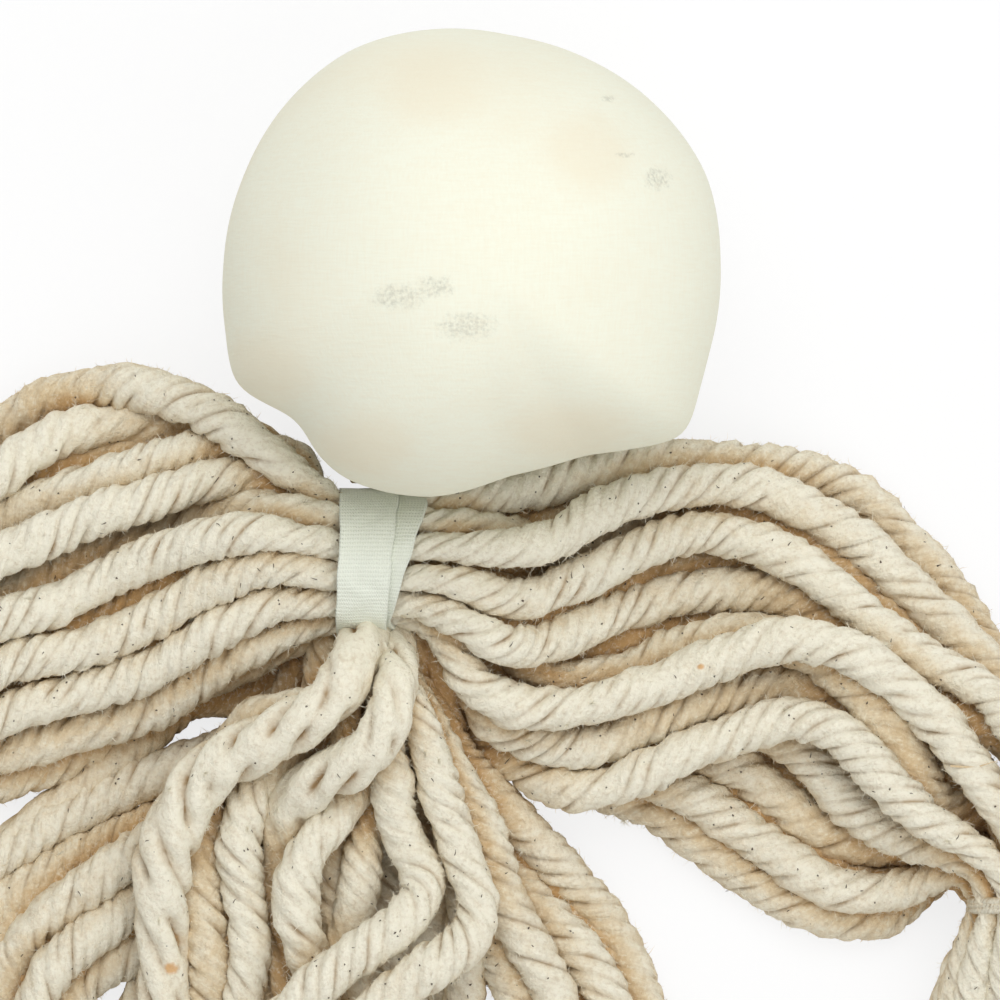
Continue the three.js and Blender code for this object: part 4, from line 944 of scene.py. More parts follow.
class SpunYarn:
    """Builds the mesh of plied yarns, fuzz included."""

    heap: Heap
    girth = 18.0 * MM
    fuzz_tones = (-0.4, -0.25, -0.1, 0.2)
    tuft_tone = -0.45
    fleck_mark = 0.92
    # Half width of the flecks from one length up to another.
    fleck_sizes = ((0.14 * MM, 0.0, 0.45 * MM), (0.07 * MM, 0.45 * MM, 2 * MM))
    fray_fibres = 220

    def __init__(self, name: str, seed: int, spin: Spin) -> None:
        """Starts an empty piece.

        Args:
            name: the piece's name.
            seed: start of its random values.
            spin: how its yarns are spun.
        """
        self.name = name
        self.random = np.random.default_rng(seed)
        self.spin = spin
        self.data = MeshData()

    def lay(
        self, path: Path, node: str = "", cut_end: bool = False, cut_start: bool = False
    ) -> Path:
        """Adds one yarn along a path.

        Args:
            path: centre line through a few points.
            node: the solid that it stands for, if it is one visible yarn.
            cut_end: whether the far end is cut and frays.
            cut_start: whether the near end is cut and frays.

        Returns:
            The centre line that the yarn follows.
        """
        line = path.rounded(self.spin.step).eased(self.spin.ease)
        along = line.run
        forward, side, up = turned_frames(line.points)
        core = self.wandered(line, along, side, up)
        share = np.arange(self.spin.plies * self.spin.sides_per_ply) / self.spin.sides_per_ply
        across = np.abs(((share + 0.5) % 1.0) - 0.5) * 2
        lumps = soft_noise(self.random, len(along), len(share), 5)
        parted = np.clip(0.68 + 0.55 * lumps, 0.05, 1.4)
        reach = self.plied(core.radii, along, share, across, parted)
        angle = self.twisted(along)[:, None] + share[None, :] * (TURN / self.spin.plies)
        outward = (np.cos(angle)[..., None] * side[:, None, :]
                   + np.sin(angle)[..., None] * up[:, None, :])
        rings = core.points[:, None, :] + outward * reach[..., None]
        rings[..., 2] = np.maximum(rings[..., 2], 0.8 * FLOOR_GAP)
        # Painted shade: tan where other yarns cover the yarn, on its underside and where it lies
        # low.
        tint = self.soiled(core.points, side, up, angle, node)
        # Painted shade in the grooves between plies, deeper where they part.
        groove = across**4 * self.spin.groove * (0.12 + 0.88 * parted**2)
        self.skin(rings, core.points, along, tint, groove, (cut_start, cut_end))
        self.fuzz(rings, outward, forward, tint, along[-1])
        self.flecks(rings, outward, forward, along[-1])
        for cut, end, way in ((cut_end, -1, 1), (cut_start, 0, -1)):
            if cut:
                heading = way * forward[end]
                self.fray(core.points[end], heading, core.radii[end], float(tint[end].mean()))
        return core

    def wandered(self, line: Path, along: np.ndarray, side: np.ndarray, up: np.ndarray) -> Path:
        """The line with its small stray bends and its thick and thin places.

        Args:
            line: the even line.
            along: distance along it to each point.
            side: its side directions.
            up: its up directions.

        Returns:
            The yarn's own line, which stays over the floor.
        """
        spin, random, length = self.spin, self.random, along[-1]
        free = np.minimum(line.radii / spin.free_radius, 1.0) * spin.wander
        drift = [Wave(random, length, spin.wander_spacing).at(along) * free for _ in range(2)]
        points = line.points + side * drift[0][:, None] + up * drift[1][:, None]
        lumps = Wave(random, length, spin.lump_spacing).at(along)
        small = Wave(random, length, spin.small_lump_spacing).at(along)
        radii = line.radii * (spin.plump + spin.lumps * (lumps + spin.small_lumps * small))
        points[:, 2] = np.maximum(points[:, 2], radii + FLOOR_GAP)
        return Path(points, radii)

    def plied(
        self, radii: np.ndarray, along: np.ndarray, share: np.ndarray, across: np.ndarray,
        parted: np.ndarray,
    ) -> np.ndarray:
        """Distance from the line to each corner of its rings.

        Args:
            radii: the yarn's half thickness.
            along: distance along the line.
            share: place round a ring, 1 for each ply.
            across: place across a ply, 0 on its crest and 1 in the groove.
            parted: how far the plies part at each corner.

        Returns:
            The distances by ring and corner.
        """
        spin, random, shape = self.spin, self.random, (len(along), len(share))
        ply = np.floor(share + 0.5).astype(int) % spin.plies
        waves = [Wave(random, along[-1], spin.ply_spacing).at(along) for _ in range(spin.plies)]
        swell = np.stack([waves[p] for p in ply], axis=1) * (1 - across**2)[None, :]
        sunk = spin.ply_depth * across**spin.ply_round * parted
        reach = radii[:, None] * (1 - sunk + spin.ply_swell * swell)
        rough, fine, loose = spin.noise
        noise = rough * soft_noise(random, *shape, 10) + fine * soft_noise(random, *shape, 2)
        return reach + spin.fluff * MM * (noise + loose * random.normal(size=shape))

    def twisted(self, along: np.ndarray) -> np.ndarray:
        """How far the plies have turned round the line at distances along it.

        Args:
            along: the distances.

        Returns:
            Angles, which the slack makes uneven.
        """
        spin, random = self.spin, self.random
        wave = Wave(random, along[-1], spin.slack_spacing)
        slack = wave.at(along) * spin.slack * spin.twist_length
        twist = spin.twist_length * random.uniform(*spin.twist_range)
        return -TURN * (along + slack) / twist + random.uniform(0, TURN)

    def soiled(
        self, points: np.ndarray, side: np.ndarray, up: np.ndarray, angle: np.ndarray, node: str
    ) -> np.ndarray:
        """How tan each corner of a yarn's rings is: painted shade, more where other yarns lie over
        it, on its undersides and where it lies low, with a random tone for each yarn.

        Args:
            points: the yarn's line.
            side: its side directions.
            up: its up directions.
            angle: each corner's angle round the line.
            node: the solid that it stands for, if it is one visible yarn.

        Returns:
            Tint from 0 to 1.2, by ring and corner.
        """
        cover = self.heap.shade(points, side, up, node)
        place = (angle / TURN) % 1.0 * Heap.directions
        low = place.astype(int) % Heap.directions
        row = np.arange(len(points))[:, None]
        between = place - np.floor(place)
        read = cover[row, low] * (1 - between) + cover[row, (low + 1) % Heap.directions] * between
        return np.clip(read + self.random.uniform(-0.05, 0.12), 0.0, 1.2)

    def skin(
        self, rings: np.ndarray, centres: np.ndarray, along: np.ndarray, tint: np.ndarray,
        groove: np.ndarray, cuts: tuple[bool, bool],
    ) -> None:
        """Adds the faces of one yarn and closes its ends.

        Args:
            rings: its corners by ring.
            centres: the middle of each ring.
            along: distance along the line to each ring.
            tint: how tan each corner is, with its painted shade.
            groove: how much painted shade of a groove each corner has.
            cuts: whether its start and its end are cut.
        """
        rows, sides, _ = rings.shape
        first = self.data.add(rings.reshape(-1, 3), tint.ravel(), groove.ravel())
        row = np.arange(rows - 1)[:, None]
        k = np.arange(sides)[None, :]
        after = (k + 1) % sides
        base = first + row * sides
        quads = np.stack([base + k, base + after, base + sides + after, base + sides + k], axis=2)
        girth = self.girth / sides
        left = np.broadcast_to(k * girth, (rows - 1, sides))
        low = np.broadcast_to(along[:-1, None], (rows - 1, sides))
        high = np.broadcast_to(along[1:, None], (rows - 1, sides))
        uv = np.stack([
            np.stack([left, low], axis=2), np.stack([left + girth, low], axis=2),
            np.stack([left + girth, high], axis=2), np.stack([left, high], axis=2),
        ], axis=2)
        self.data.add_faces(quads.reshape(-1, 4), uv.reshape(-1, 4, 2))
        for row_at, cut, inward in ((0, cuts[0], 1), (rows - 1, cuts[1], -1)):
            step = centres[row_at + inward] - centres[row_at]
            tip = centres[row_at] - step * (0.4 if cut else 0.0)
            hub = self.data.add(tip[None, :], tint[row_at, :1], 0.3)
            rim = first + row_at * sides + np.arange(sides)
            beyond = np.roll(rim, -1)
            pair = (beyond, rim) if row_at == 0 else (rim, beyond)
            self.data.add_faces(np.stack([*pair, np.full(sides, hub)], axis=1))

    def hairs(
        self, roots: np.ndarray, headings: np.ndarray, lengths: np.ndarray, tint: np.ndarray,
        across: np.ndarray | None = None, width: float = 0.0, fleck: float = 0.0,
    ) -> None:
        """Adds thin tapered fibres.

        Args:
            roots: where they start.
            headings: their first directions.
            lengths: their lengths.
            tint: how tan each is.
            across: directions that their flat sides face, or none for random ones.
            width: their half width, or 0 for the fuzz's own.
            fleck: 1 for dark flecks.
        """
        count = len(roots)
        if count == 0:
            return
        random = self.random
        headings = headings / np.linalg.norm(headings, axis=1)[:, None]
        side = np.cross(headings, random.normal(size=(count, 3)) if across is None else across)
        side /= np.maximum(np.linalg.norm(side, axis=1), 1e-6)[:, None]
        bend = random.uniform(-0.4, 0.4, (count, 3)) * lengths[:, None]
        if across is not None:
            bend = side * bend[:, :1] * 1.5
        half = lengths[:, None] * 0.5
        middle = roots + headings * half + bend * 0.25
        tip = roots + headings * half * 2 + bend
        wide = side * (width or self.spin.fuzz_width)
        corners = np.stack([roots - wide, roots + wide, middle - wide, middle + wide, tip], axis=1)
        corners[..., 2] = np.maximum(corners[..., 2], 0.6 * FLOOR_GAP)
        first = self.data.add(corners.reshape(-1, 3), np.repeat(tint, 5), 0.0, fleck)
        base = first + 5 * np.arange(count)[:, None]
        self.data.add_faces(base + np.array([[0, 1, 3, 2]]))
        self.data.add_faces(base + np.array([[2, 3, 4]]))

    def fuzz(
        self, rings: np.ndarray, outward: np.ndarray, forward: np.ndarray, tint: np.ndarray,
        length: float,
    ) -> None:
        """Adds short loose fibres and small tufts over the surface of one yarn.

        Args:
            rings: its corners by ring.
            outward: direction out at each corner.
            forward: direction along at each ring.
            tint: how tan each corner is.
            length: the yarn's length.
        """
        random, spin = self.random, self.spin
        rows, sides, _ = rings.shape
        count = int(length * spin.fuzz_per_metre)
        row, k = random.integers(0, rows, count), random.integers(0, sides, count)
        lengths = spin.fuzz_length * (0.3 + random.exponential(0.4, count))
        tufts = int(length * spin.tufts_per_metre)
        fibres = spin.fibres_per_tuft
        row = np.concatenate([row, np.repeat(random.integers(0, rows, tufts), fibres)])
        k = np.concatenate([k, np.repeat(random.integers(0, sides, tufts), fibres)])
        tufted = random.uniform(0.5, 1.3, tufts * fibres) * MM
        lengths = np.minimum(np.concatenate([lengths, tufted]), spin.fuzz_limit)
        lean = random.normal(size=(len(row), 1)) * 1.3
        headings = outward[row, k] + forward[row] * lean + random.normal(size=(len(row), 3)) * 0.5
        roots = rings[row, k] - outward[row, k] * 0.05 * MM
        tone = tint[row, k] + random.choice(self.fuzz_tones, len(row))
        tone[count:] = tint[row, k][count:] + self.tuft_tone
        self.hairs(roots, headings, lengths, np.clip(tone, 0.0, 1.2))

    def flecks(
        self, rings: np.ndarray, outward: np.ndarray, forward: np.ndarray, length: float
    ) -> None:
        """Adds dark bits of stalk that lie on the surface of one yarn.

        Args:
            rings: its corners by ring.
            outward: direction out at each corner.
            forward: direction along at each ring.
            length: the yarn's length.
        """
        random = self.random
        rows, sides, _ = rings.shape
        count = int(length * self.spin.flecks_per_metre)
        row, k = random.integers(0, rows, count), random.integers(0, sides, count)
        out = outward[row, k]
        turn = random.uniform(0, math.pi, (count, 1))
        headings = forward[row] * np.cos(turn) + np.cross(out, forward[row]) * np.sin(turn)
        lengths = np.minimum(0.22 + random.exponential(0.26, count), 1.5) * MM
        for wide, low, high in self.fleck_sizes:
            held = (lengths >= low) & (lengths < high)
            roots = rings[row, k][held] + out[held] * 0.07 * MM
            tint = np.zeros(held.sum())
            self.hairs(roots, headings[held], lengths[held], tint, out[held], wide, self.fleck_mark)

    def fray(self, centre: np.ndarray, forward: np.ndarray, radius: float, tint: float) -> None:
        """Adds the tuft of fibres at a cut end.

        Args:
            centre: middle of the cut.
            forward: the way out of the yarn.
            radius: the yarn's half thickness.
            tint: how tan it is.
        """
        random, count = self.random, self.fray_fibres
        spread = random.normal(size=(count, 3)) * radius * 0.45
        spread -= forward[None, :] * (spread @ forward)[:, None]
        far = np.linalg.norm(spread, axis=1) / (0.85 * radius)
        spread /= np.maximum(far, 1.0)[:, None]
        roots = centre[None, :] + spread - forward[None, :] * 0.4 * MM
        headings = forward[None, :] + spread / radius * 0.5 + random.normal(size=(count, 3)) * 0.15
        lengths = random.uniform(0.6, 1.6, count) * MM
        roots[:, 2] = np.maximum(roots[:, 2], 0.1 * MM)
        self.hairs(roots, headings, lengths, np.full(count, tint))

    def piece(self) -> bpy.types.Object:
        """Makes the object from what was laid.

        Returns:
            The object, at the origin.
        """
        mesh = self.data.mesh(self.name)
        mesh.materials.append(Finish.COTTON.material())
        made = bpy.data.objects.new(self.name, mesh)
        bpy.context.scene.collection.objects.link(made)
        return made


def report(piece: bpy.types.Object, note: str) -> None:
    """Logs a finished piece and the number of its faces."""
    LOG.info("%s: %s, %d faces", piece.name, note, len(piece.data.polygons))


@dataclass
class Hank:
    """Middle and half size of the yarn where the tape or the waist tie holds it."""

    centre: np.ndarray
    half: np.ndarray

    def pulled_in(self, point: np.ndarray, across: tuple[int, int], radius: float) -> np.ndarray:
        """Moves a point inward until a yarn of that radius lies within the hank's section.

        Args:
            point: the place to move.
            across: the two axes of the section.
            radius: the yarn's half thickness.

        Returns:
            The place within the section.
        """
        moved = np.array(point, float)
        reach = [(moved[a] - self.centre[a]) / (self.half[a] - radius) for a in across]
        far = math.hypot(*reach)
        if far > 1:
            for a in across:
                moved[a] = self.centre[a] + (moved[a] - self.centre[a]) / far
        return moved


def middle_and_half(node: str) -> tuple[np.ndarray, np.ndarray]:
    """Middle and half size of a solid's box."""
    low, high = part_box(node)
    return np.array((low + high) / 2), np.array((high - low) / 2)


def coil(
    centre: np.ndarray, half: tuple[float, float], rise: float, turns: float, count: int,
    start: float = 0.0,
) -> np.ndarray:
    """Points of a coil round a line that runs from head to foot.

    Args:
        centre: its middle.
        half: its half width and half height.
        rise: its length from head to foot.
        turns: how many turns it makes.
        count: how many points.
        start: the angle at which it starts.

    Returns:
        The points, from the head side down.
    """
    steps = np.linspace(0.0, 1.0, count)
    angle = start + steps * turns * TURN
    return np.stack([
        centre[0] + np.cos(angle) * half[0],
        centre[1] + (0.5 - steps) * rise,
        centre[2] + np.sin(angle) * half[1],
    ], axis=1)


class Side(Enum):
    """The doll's arms, by the way they reach from the tape."""

    RIGHT = 1
    LEFT = -1

    @property
    def word(self) -> str:
        """Name used in solids and pieces."""
        return self.name.lower()


@dataclass
class Arm:
    """One arm: its visible yarns, the yarns under them, its wrist tie and its hand.

    A filler lies between two visible yarns: their numbers, the second one's share at the tape, and
    how far along the arm that share has run out.
    """

    side: Side
    yarns: int
    fillers: tuple[tuple[int, int, float, float], ...]
    under_yarns: int = 8
    taped_radius: float = 1.75 * MM
    taped_places: tuple[float, ...] = (0.6 * MM, 3.2 * MM, 5.6 * MM)
    blend_start: float = 7.0 * MM
    blend_end: float = 24.0 * MM
    blend_height: float = 20.0 * MM
    filler_radius: float = 2.6 * MM
    filler_drop: float = 3.6 * MM
    tie_turns: int = 3
    tie_thread: float = 0.55 * MM
    hand_length: float = 33.0 * MM
    hand_radius: float = 2.75 * MM
    hand_places: tuple[float, ...] = (0.0, 0.08, 0.22, 0.42, 0.62, 0.82, 1.0)
    hand_fullness: tuple[float, ...] = (0.0, 0.0, 0.3, 0.75, 1.0, 1.0, 1.0)
    hand_blend: tuple[float, float] = (2.0 * MM, 14.0 * MM)
    nudges: dict[int, tuple[float, float]] = field(default_factory=dict)
    straw: tuple[tuple[float, float], ...] = ()
    straw_lift: float = 1.4 * MM
    straw_width: float = 0.15 * MM
    straw_tint: float = 0.7
    ends: list[tuple[np.ndarray, float]] = field(default_factory=list)
    lines: dict[int, Path] = field(default_factory=dict)

    def lead(self, place: Vector) -> float:
        """Distance from the doll's middle, on this arm's side."""
        return place.x * self.side.value

    def body(self) -> str:
        """Name of the arm's body."""
        return f"{self.side.word}_arm"

    def taped(self, start: np.ndarray, hank: Hank) -> list[np.ndarray]:
        """Points that carry a yarn on under the tape."""
        places = [np.array([x * self.side.value, start[1], start[2]]) for x in self.taped_places]
        return [hank.pulled_in(place, (1, 2), self.taped_radius) for place in places]

    def trimmed(self, path: Path) -> Path:
        """The path cut off under the wrist tie.

        Args:
            path: a yarn's path past the wrist.

        Returns:
            The path that ends at the wrist.
        """
        points = path.points.copy()
        points[-1, 1] = self.wrist()[1]
        return Path(points, path.radii)

    def nudged(self, number: int, path: Path) -> Path:
        """The path moved over between the tape and the wrist, to its place in the photo.

        Args:
            number: the yarn's number.
            path: its path.

        Returns:
            The moved path.
        """
        weight = np.interp(path.run / path.run[-1], [0.1, 0.3, 0.75, 1.0], [0.0, 1.0, 1.0, 0.0])
        points = path.points.copy()
        points[:, :2] += weight[:, None] * np.array(self.nudges.get(number, (0.0, 0.0))) * MM
        return Path(points, path.radii)

    def wrist(self) -> np.ndarray:
        """Middle of the wrist tie."""
        return middle_and_half(f"{self.side.word}_wrist_tie")[0]

    def lay_visible(self, hank: Hank) -> None:
        """Lays each visible yarn from the tape to the wrist.

        Args:
            hank: the section under the tape.
        """
        for number in range(1, self.yarns + 1):
            node = f"{self.side.word}_arm_yarn_{number}"
            path = self.nudged(number, self.trimmed(solid_path(node, self.lead)))
            path = path.extended(self.taped(path.points[0], hank), self.taped_radius)
            seed = 100 * (2 + self.side.value) + number
            yarn = SpunYarn(f"{self.side.word}_arm_strand_{number}", seed, VISIBLE_SPIN)
            laid = yarn.lay(path, node)
            self.lines[number] = path
            self.ends.append((laid.points[-1], laid.radii[-1]))
            piece = yarn.piece()
            self.hang(piece)
            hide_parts(node)
            report(piece, "a yarn of the arm")

    def hang(self, piece: bpy.types.Object) -> None:
        """Bakes a piece's placement into its mesh.

        Args:
            piece: the piece.
        """
        start = (self.blend_start * self.side.value, 0, self.blend_height)
        end = (self.blend_end * self.side.value, 0, self.blend_height)
        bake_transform(piece)

    def lay_under(self, hank: Hank) -> None:
        """Lays the yarns that lie under the visible ones.

        Args:
            hank: the section under the tape.
        """
        node = f"{self.side.word}_arm_under_yarns"
        rings = solid_rings(node, BUNDLE_CORNERS, self.lead)
        yarn = SpunYarn(f"{self.side.word}_arm_under_strands", 900 + self.side.value, BURIED_SPIN)
        for i in range(self.under_yarns):
            path = self.trimmed(bundled_path(rings, i, self.under_yarns))
            path = path.extended(self.taped(path.points[0], hank), self.taped_radius)
            laid = yarn.lay(path)
            self.ends.append((laid.points[-1], laid.radii[-1]))
        for filler in self.fillers:
            yarn.lay(self.filler_path(*filler))
        if self.straw:
            self.lay_straw(yarn)
        piece = yarn.piece()
        self.hang(piece)
        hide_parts(node)
        report(piece, "the yarns under the arm's visible ones")

    def filler_path(self, first: int, second: int, start: float, end: float) -> Path:
        """A buried yarn's path between two visible ones, thin under the tape and at the wrist.

        Args:
            first: number of the first visible yarn.
            second: number of the second.
            start: the second one's share at the tape.
            end: how far along the arm that share has run out.

        Returns:
            The path, below both yarns.
        """
        places = np.linspace(0, 1, 24)
        share = np.clip(np.interp(places, [0.0, 0.3, end, 1.0], [start, start, 0, 0]), 0, 1)
        other = self.lines[second]
        path = self.lines[first].beside(other, share, self.filler_drop, self.filler_radius)
        path.radii[:3] = path.radii[-3:] = self.taped_radius
        return path

    def lay_straw(self, yarn: SpunYarn) -> None:
        """Lays one long loose fibre on top of the arm, between two places in plan.

        Args:
            yarn: the piece that it joins.
        """
        start, end = (np.array([*place, 0.0]) * MM for place in self.straw)
        points = np.concatenate([path.points for path in self.lines.values()])
        radii = np.concatenate([path.radii for path in self.lines.values()])
        near = np.linalg.norm(points[:, :2] - start[:2], axis=1) < 5 * MM
        start[2] = end[2] = (points[near, 2] + radii[near]).max() + self.straw_lift
        length = np.array([np.linalg.norm(end - start)])
        tint = np.array([self.straw_tint])
        yarn.hairs(start[None], (end - start)[None], length, tint, UP[None], self.straw_width)

    def tie_wrist(self) -> None:
        """Winds the wrist tie."""
        node = f"{self.side.word}_wrist_tie"
        centre, half = middle_and_half(node)
        inner = half - 3.8 * self.tie_thread
        rise = 2 * (half[1] - self.tie_thread)
        count = 40 * self.tie_turns
        points = coil(centre, (inner[0], inner[2]), rise, self.tie_turns, count, start=0.6)
        yarn = SpunYarn(f"{self.side.word}_wrist_thread", 950 + self.side.value, THREAD_SPIN)
        radii = np.full(count, self.tie_thread)
        yarn.lay(Path(points, radii), cut_end=True, cut_start=True)
        piece = yarn.piece()
        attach(piece, self.body())
        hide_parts(node)
        report(piece, "thread round the wrist")

    def fan_hand(self) -> None:
        """Fans the cut ends of the arm's yarns out from the wrist."""
        node = f"{self.side.word}_hand_yarns"
        order = sorted(self.ends, key=lambda end: end[0][2])
        rows = [order[: len(order) // 2], order[len(order) // 2:]]
        yarn = SpunYarn(f"{self.side.word}_hand_strands", 970 + self.side.value, VISIBLE_SPIN)
        for layer, row in enumerate(rows):
            row = sorted(row, key=lambda end: end[0][0])
            for i, (start, thin) in enumerate(row):
                length = self.hand_length * (1 - 0.1 * yarn.random.random())
                share = (i + 0.5) / len(row)
                grown = thin + (self.hand_radius - thin) * np.array(self.hand_fullness)
                points = self.finger_points(start, layer, share, length)
                yarn.lay(Path(points, grown), cut_end=True)
        piece = yarn.piece()
        wrist = self.wrist()
        start, end = ((wrist[0], wrist[1] - away, wrist[2]) for away in self.hand_blend)
        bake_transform(piece)
        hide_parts(node)
        report(piece, "the cut ends of the hand")

    def finger_points(
        self, start: np.ndarray, layer: int, share: float, length: float
    ) -> np.ndarray:
        """Where a cut end of the arm runs below the wrist.

        Args:
            start: where it comes out of the wrist tie.
            layer: 0 for the lower row, which lies on the floor, and 1 for the upper.
            share: its place across the row.
            length: how far it reaches.

        Returns:
            Points from the wrist to the cut.
        """
        low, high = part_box(f"{self.side.word}_hand_yarns")
        radius = self.hand_radius
        inset = radius * (1 + layer)
        middle = self.wrist()[1]
        end = (
            low.x + inset + share * (high.x - low.x - 2 * inset),
            middle - length * (1 - 0.12 * (2 * share - 1) ** 2),
            radius * 1.05 + layer * radius * 1.75,
        )
        t = np.array(self.hand_places)
        return np.stack([
            start[0] + (end[0] - start[0]) * (1 - (1 - t) ** 1.7),
            middle + (end[1] - middle) * t,
            start[2] + (end[2] - start[2]) * t * t * (3 - 2 * t),
        ], axis=1)

    def build(self, hank: Hank) -> None:
        """Builds the whole arm.

        Args:
            hank: the section under the tape.
        """
        self.lay_visible(hank)
        self.lay_under(hank)
        self.tie_wrist()
        self.fan_hand()


def bundled_path(rings: np.ndarray, index: int, count: int) -> Path:
    """One of the yarns that fill a bundle.

    Args:
        rings: the bundle's section at each station.
        index: which yarn, counted across the bundle.
        count: how many yarns fill it.

    Returns:
        The yarn's path: side by side where the bundle is wide, heaped where it is narrow.
    """
    points, radii = [], []
    turn = index * GOLDEN_ANGLE
    out = math.sqrt((index + 0.5) / count)
    for ring in rings:
        low, high = ring.min(axis=0), ring.max(axis=0)
        centre, height = ring.mean(axis=0), high[2] - low[2]
        flat = (ring - centre) * np.array([1, 1, 0])
        widths = np.linalg.norm(flat, axis=1)
        half = widths.max()
        across = flat[np.argmax(widths)] / half
        across *= np.sign(across[0] + across[1] * 0.5) or 1.0
        area = math.pi * half * height / 2
        packed = 0.92 * math.sqrt(area / count / math.pi)
        thick = min(height / 2 - 0.1 * MM, 3.0 * MM, packed)
        spread_side = (2 * (index + 0.5) / count - 1) * (half - thick)
        spread_up = thick * 1.02 + low[2]
        heaped_side = math.cos(turn) * out * (half - thick)
        heaped_up = centre[2] + math.sin(turn) * out * max(height / 2 - thick, 0)
        room = half / (count * thick)
        spread = min(max((room - 0.45) / 0.45, 0.0), 1.0)
        points.append(centre * np.array([1, 1, 0])
                      + across * (heaped_side + (spread_side - heaped_side) * spread)
                      + UP * (heaped_up + (spread_up - heaped_up) * spread))
        radii.append(thick)
    return Path(np.array(points), np.array(radii))


@dataclass
class Skirt:
    """The skirt: its visible yarns, the yarns under them, its waist and tie."""

    yarns: int = 14
    under_yarns: int = 22
    trim: float = 9.0 * MM
    bound_radius: float = 1.6 * MM
    filler_radius: float = 2.9 * MM
    filler_drop: float = 3.2 * MM
    fillers: tuple[tuple[int, int], ...] = (
        (1, 2), (2, 3), (3, 4), (4, 5), (5, 6), (6, 7), (7, 8), (8, 9), (8, 12), (12, 11),
        (11, 13), (13, 14), (9, 12), (9, 11),
    )
    core_radius: float = 2.5 * MM
    core_places: tuple[float, ...] = (-9.0, -5.4, -1.8, 1.8, 5.4, 9.4)
    core_heights: tuple[float, ...] = (7.0, 12.0)
    tie_fullness: float = 1.2
    tie_radius: float = 1.35 * MM
    tie_rise: float = 3.0 * MM
    # Where each free end of the tie runs from under the tape to its solid, in millimetres.
    tucked: tuple[tuple[str, tuple[tuple[float, float, float], ...]], ...] = (
        ("left", (
            (-2.0, -6.5, 10.0), (-2.1, -9.6, 14.5), (-2.4, -11.8, 20.5), (-4.0, -15.0, 25.0))),
        ("right", (
            (0.8, -6.5, 8.0), (1.4, -9.6, 10.0), (2.2, -12.6, 14.5), (2.6, -15.4, 20.5))),
    )
    # The knot's x, y, z and half thickness, in millimetres.
    knot: tuple[tuple[float, float, float, float], ...] = (
        (-5.0, -15.8, 17.4, 1.5), (-4.4, -13.2, 19.6, 1.9), (-2.6, -12.4, 20.2, 2.0),
        (0.6, -13.6, 19.6, 1.9), (1.4, -16.4, 18.6, 1.7), (-1.0, -17.8, 17.6, 1.4),
    )
    blend_start: float = -17.0 * MM
    blend_end: float = -46.0 * MM
    blend_height: float = 12.0 * MM
    lines: dict[int, Path] = field(default_factory=dict)

    def lead(self, place: Vector) -> float:
        """Distance below the head."""
        return -place.y

    def bound(self, start: np.ndarray, hank: Hank) -> list[np.ndarray]:
        """Points that carry a yarn up through the waist tie.

        Args:
            start: the yarn's first place below the tie.
            hank: the section under the tie.

        Returns:
            The places, from the top down.
        """
        levels = [hank.centre[1] + hank.half[1] * way for way in (1, 0, -1)]
        places = [np.array([start[0], y, start[2]]) for y in levels]
        return [hank.pulled_in(place, (0, 2), self.bound_radius) for place in places]

    def hang(self, piece: bpy.types.Object) -> None:
        """Bakes a piece's placement into its mesh.

        Args:
            piece: the piece.
        """
        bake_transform(piece)

    def lay_visible(self, hank: Hank) -> None:
        """Lays each visible yarn from the waist to its cut end.

        Args:
            hank: the section under the tie.
        """
        for number in range(1, self.yarns + 1):
            node = f"skirt_yarn_{number}"
            path = solid_path(node, self.lead)
            path = path.extended(self.bound(path.points[0], hank), self.bound_radius)
            yarn = SpunYarn(f"skirt_strand_{number}", 500 + number, VISIBLE_SPIN)
            self.lines[number] = path
            line = yarn.lay(path, node, cut_end=True)
            piece = yarn.piece()
            self.hang(piece)
            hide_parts(node)
            report(piece, "a yarn of the skirt")

    def lay_under(self, hank: Hank) -> None:
        """Lays the yarns under the visible ones.

        Args:
            hank: the section under the tie.
        """
        node = "skirt_under_yarns"
        rings = solid_rings(node, BUNDLE_CORNERS, self.lead)
        half = (self.under_yarns + 1) // 2
        for part, numbers in enumerate((range(half), range(half, self.under_yarns))):
            yarn = SpunYarn(f"skirt_under_strands_{part + 1}", 980 + part, BURIED_SPIN)
            for i in numbers:
                path = bundled_path(rings, i, self.under_yarns)
                path = path.extended(self.bound(path.points[0], hank), path.radii[0])
                path.points[-1, 1] += yarn.random.uniform(0, self.trim)
                yarn.lay(path, cut_end=True)
            piece = yarn.piece()
            self.hang(piece)
            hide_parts(node, "waist_yarn")
            report(piece, "yarns under the skirt's visible ones")

    def lay_between(self) -> None:
        """Lays yarns that show between and below the visible ones."""
        yarn = SpunYarn("skirt_between_strands", 983, BURIED_SPIN)
        for first, second in self.fillers:
            share = np.full(30, 0.5) + 0.12 * yarn.random.uniform(-1, 1)
            other = self.lines[second]
            path = self.lines[first].beside(other, share, self.filler_drop, self.filler_radius)
            path.radii[:4] = self.bound_radius
            yarn.lay(path, cut_end=True)
        piece = yarn.piece()
        self.hang(piece)
        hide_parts("skirt_under_yarns")
        report(piece, "yarns between the skirt's visible ones")

    def lay_core(self) -> None:
        """Lays the short lengths between the tape and the waist, deep among the other yarns."""
        yarn = SpunYarn("waist_core_strands", 984, BURIED_SPIN)
        for x in self.core_places:
            for z in self.core_heights:
                points = np.array([
                    (x * 0.55, 2.0, z + 2), (x * 0.8, -7.0, z + 1), (x, -12.5, z),
                    (x, -17.0, z), (x * 1.05, -24.0, z - 1.5), (x * 1.2, -32.0, z - 3),
                ]) * MM
                yarn.lay(Path(points, np.full(len(points), self.core_radius)))
        piece = yarn.piece()
        self.hang(piece)
        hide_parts("waist_yarn")
        report(piece, "short lengths at the waist")

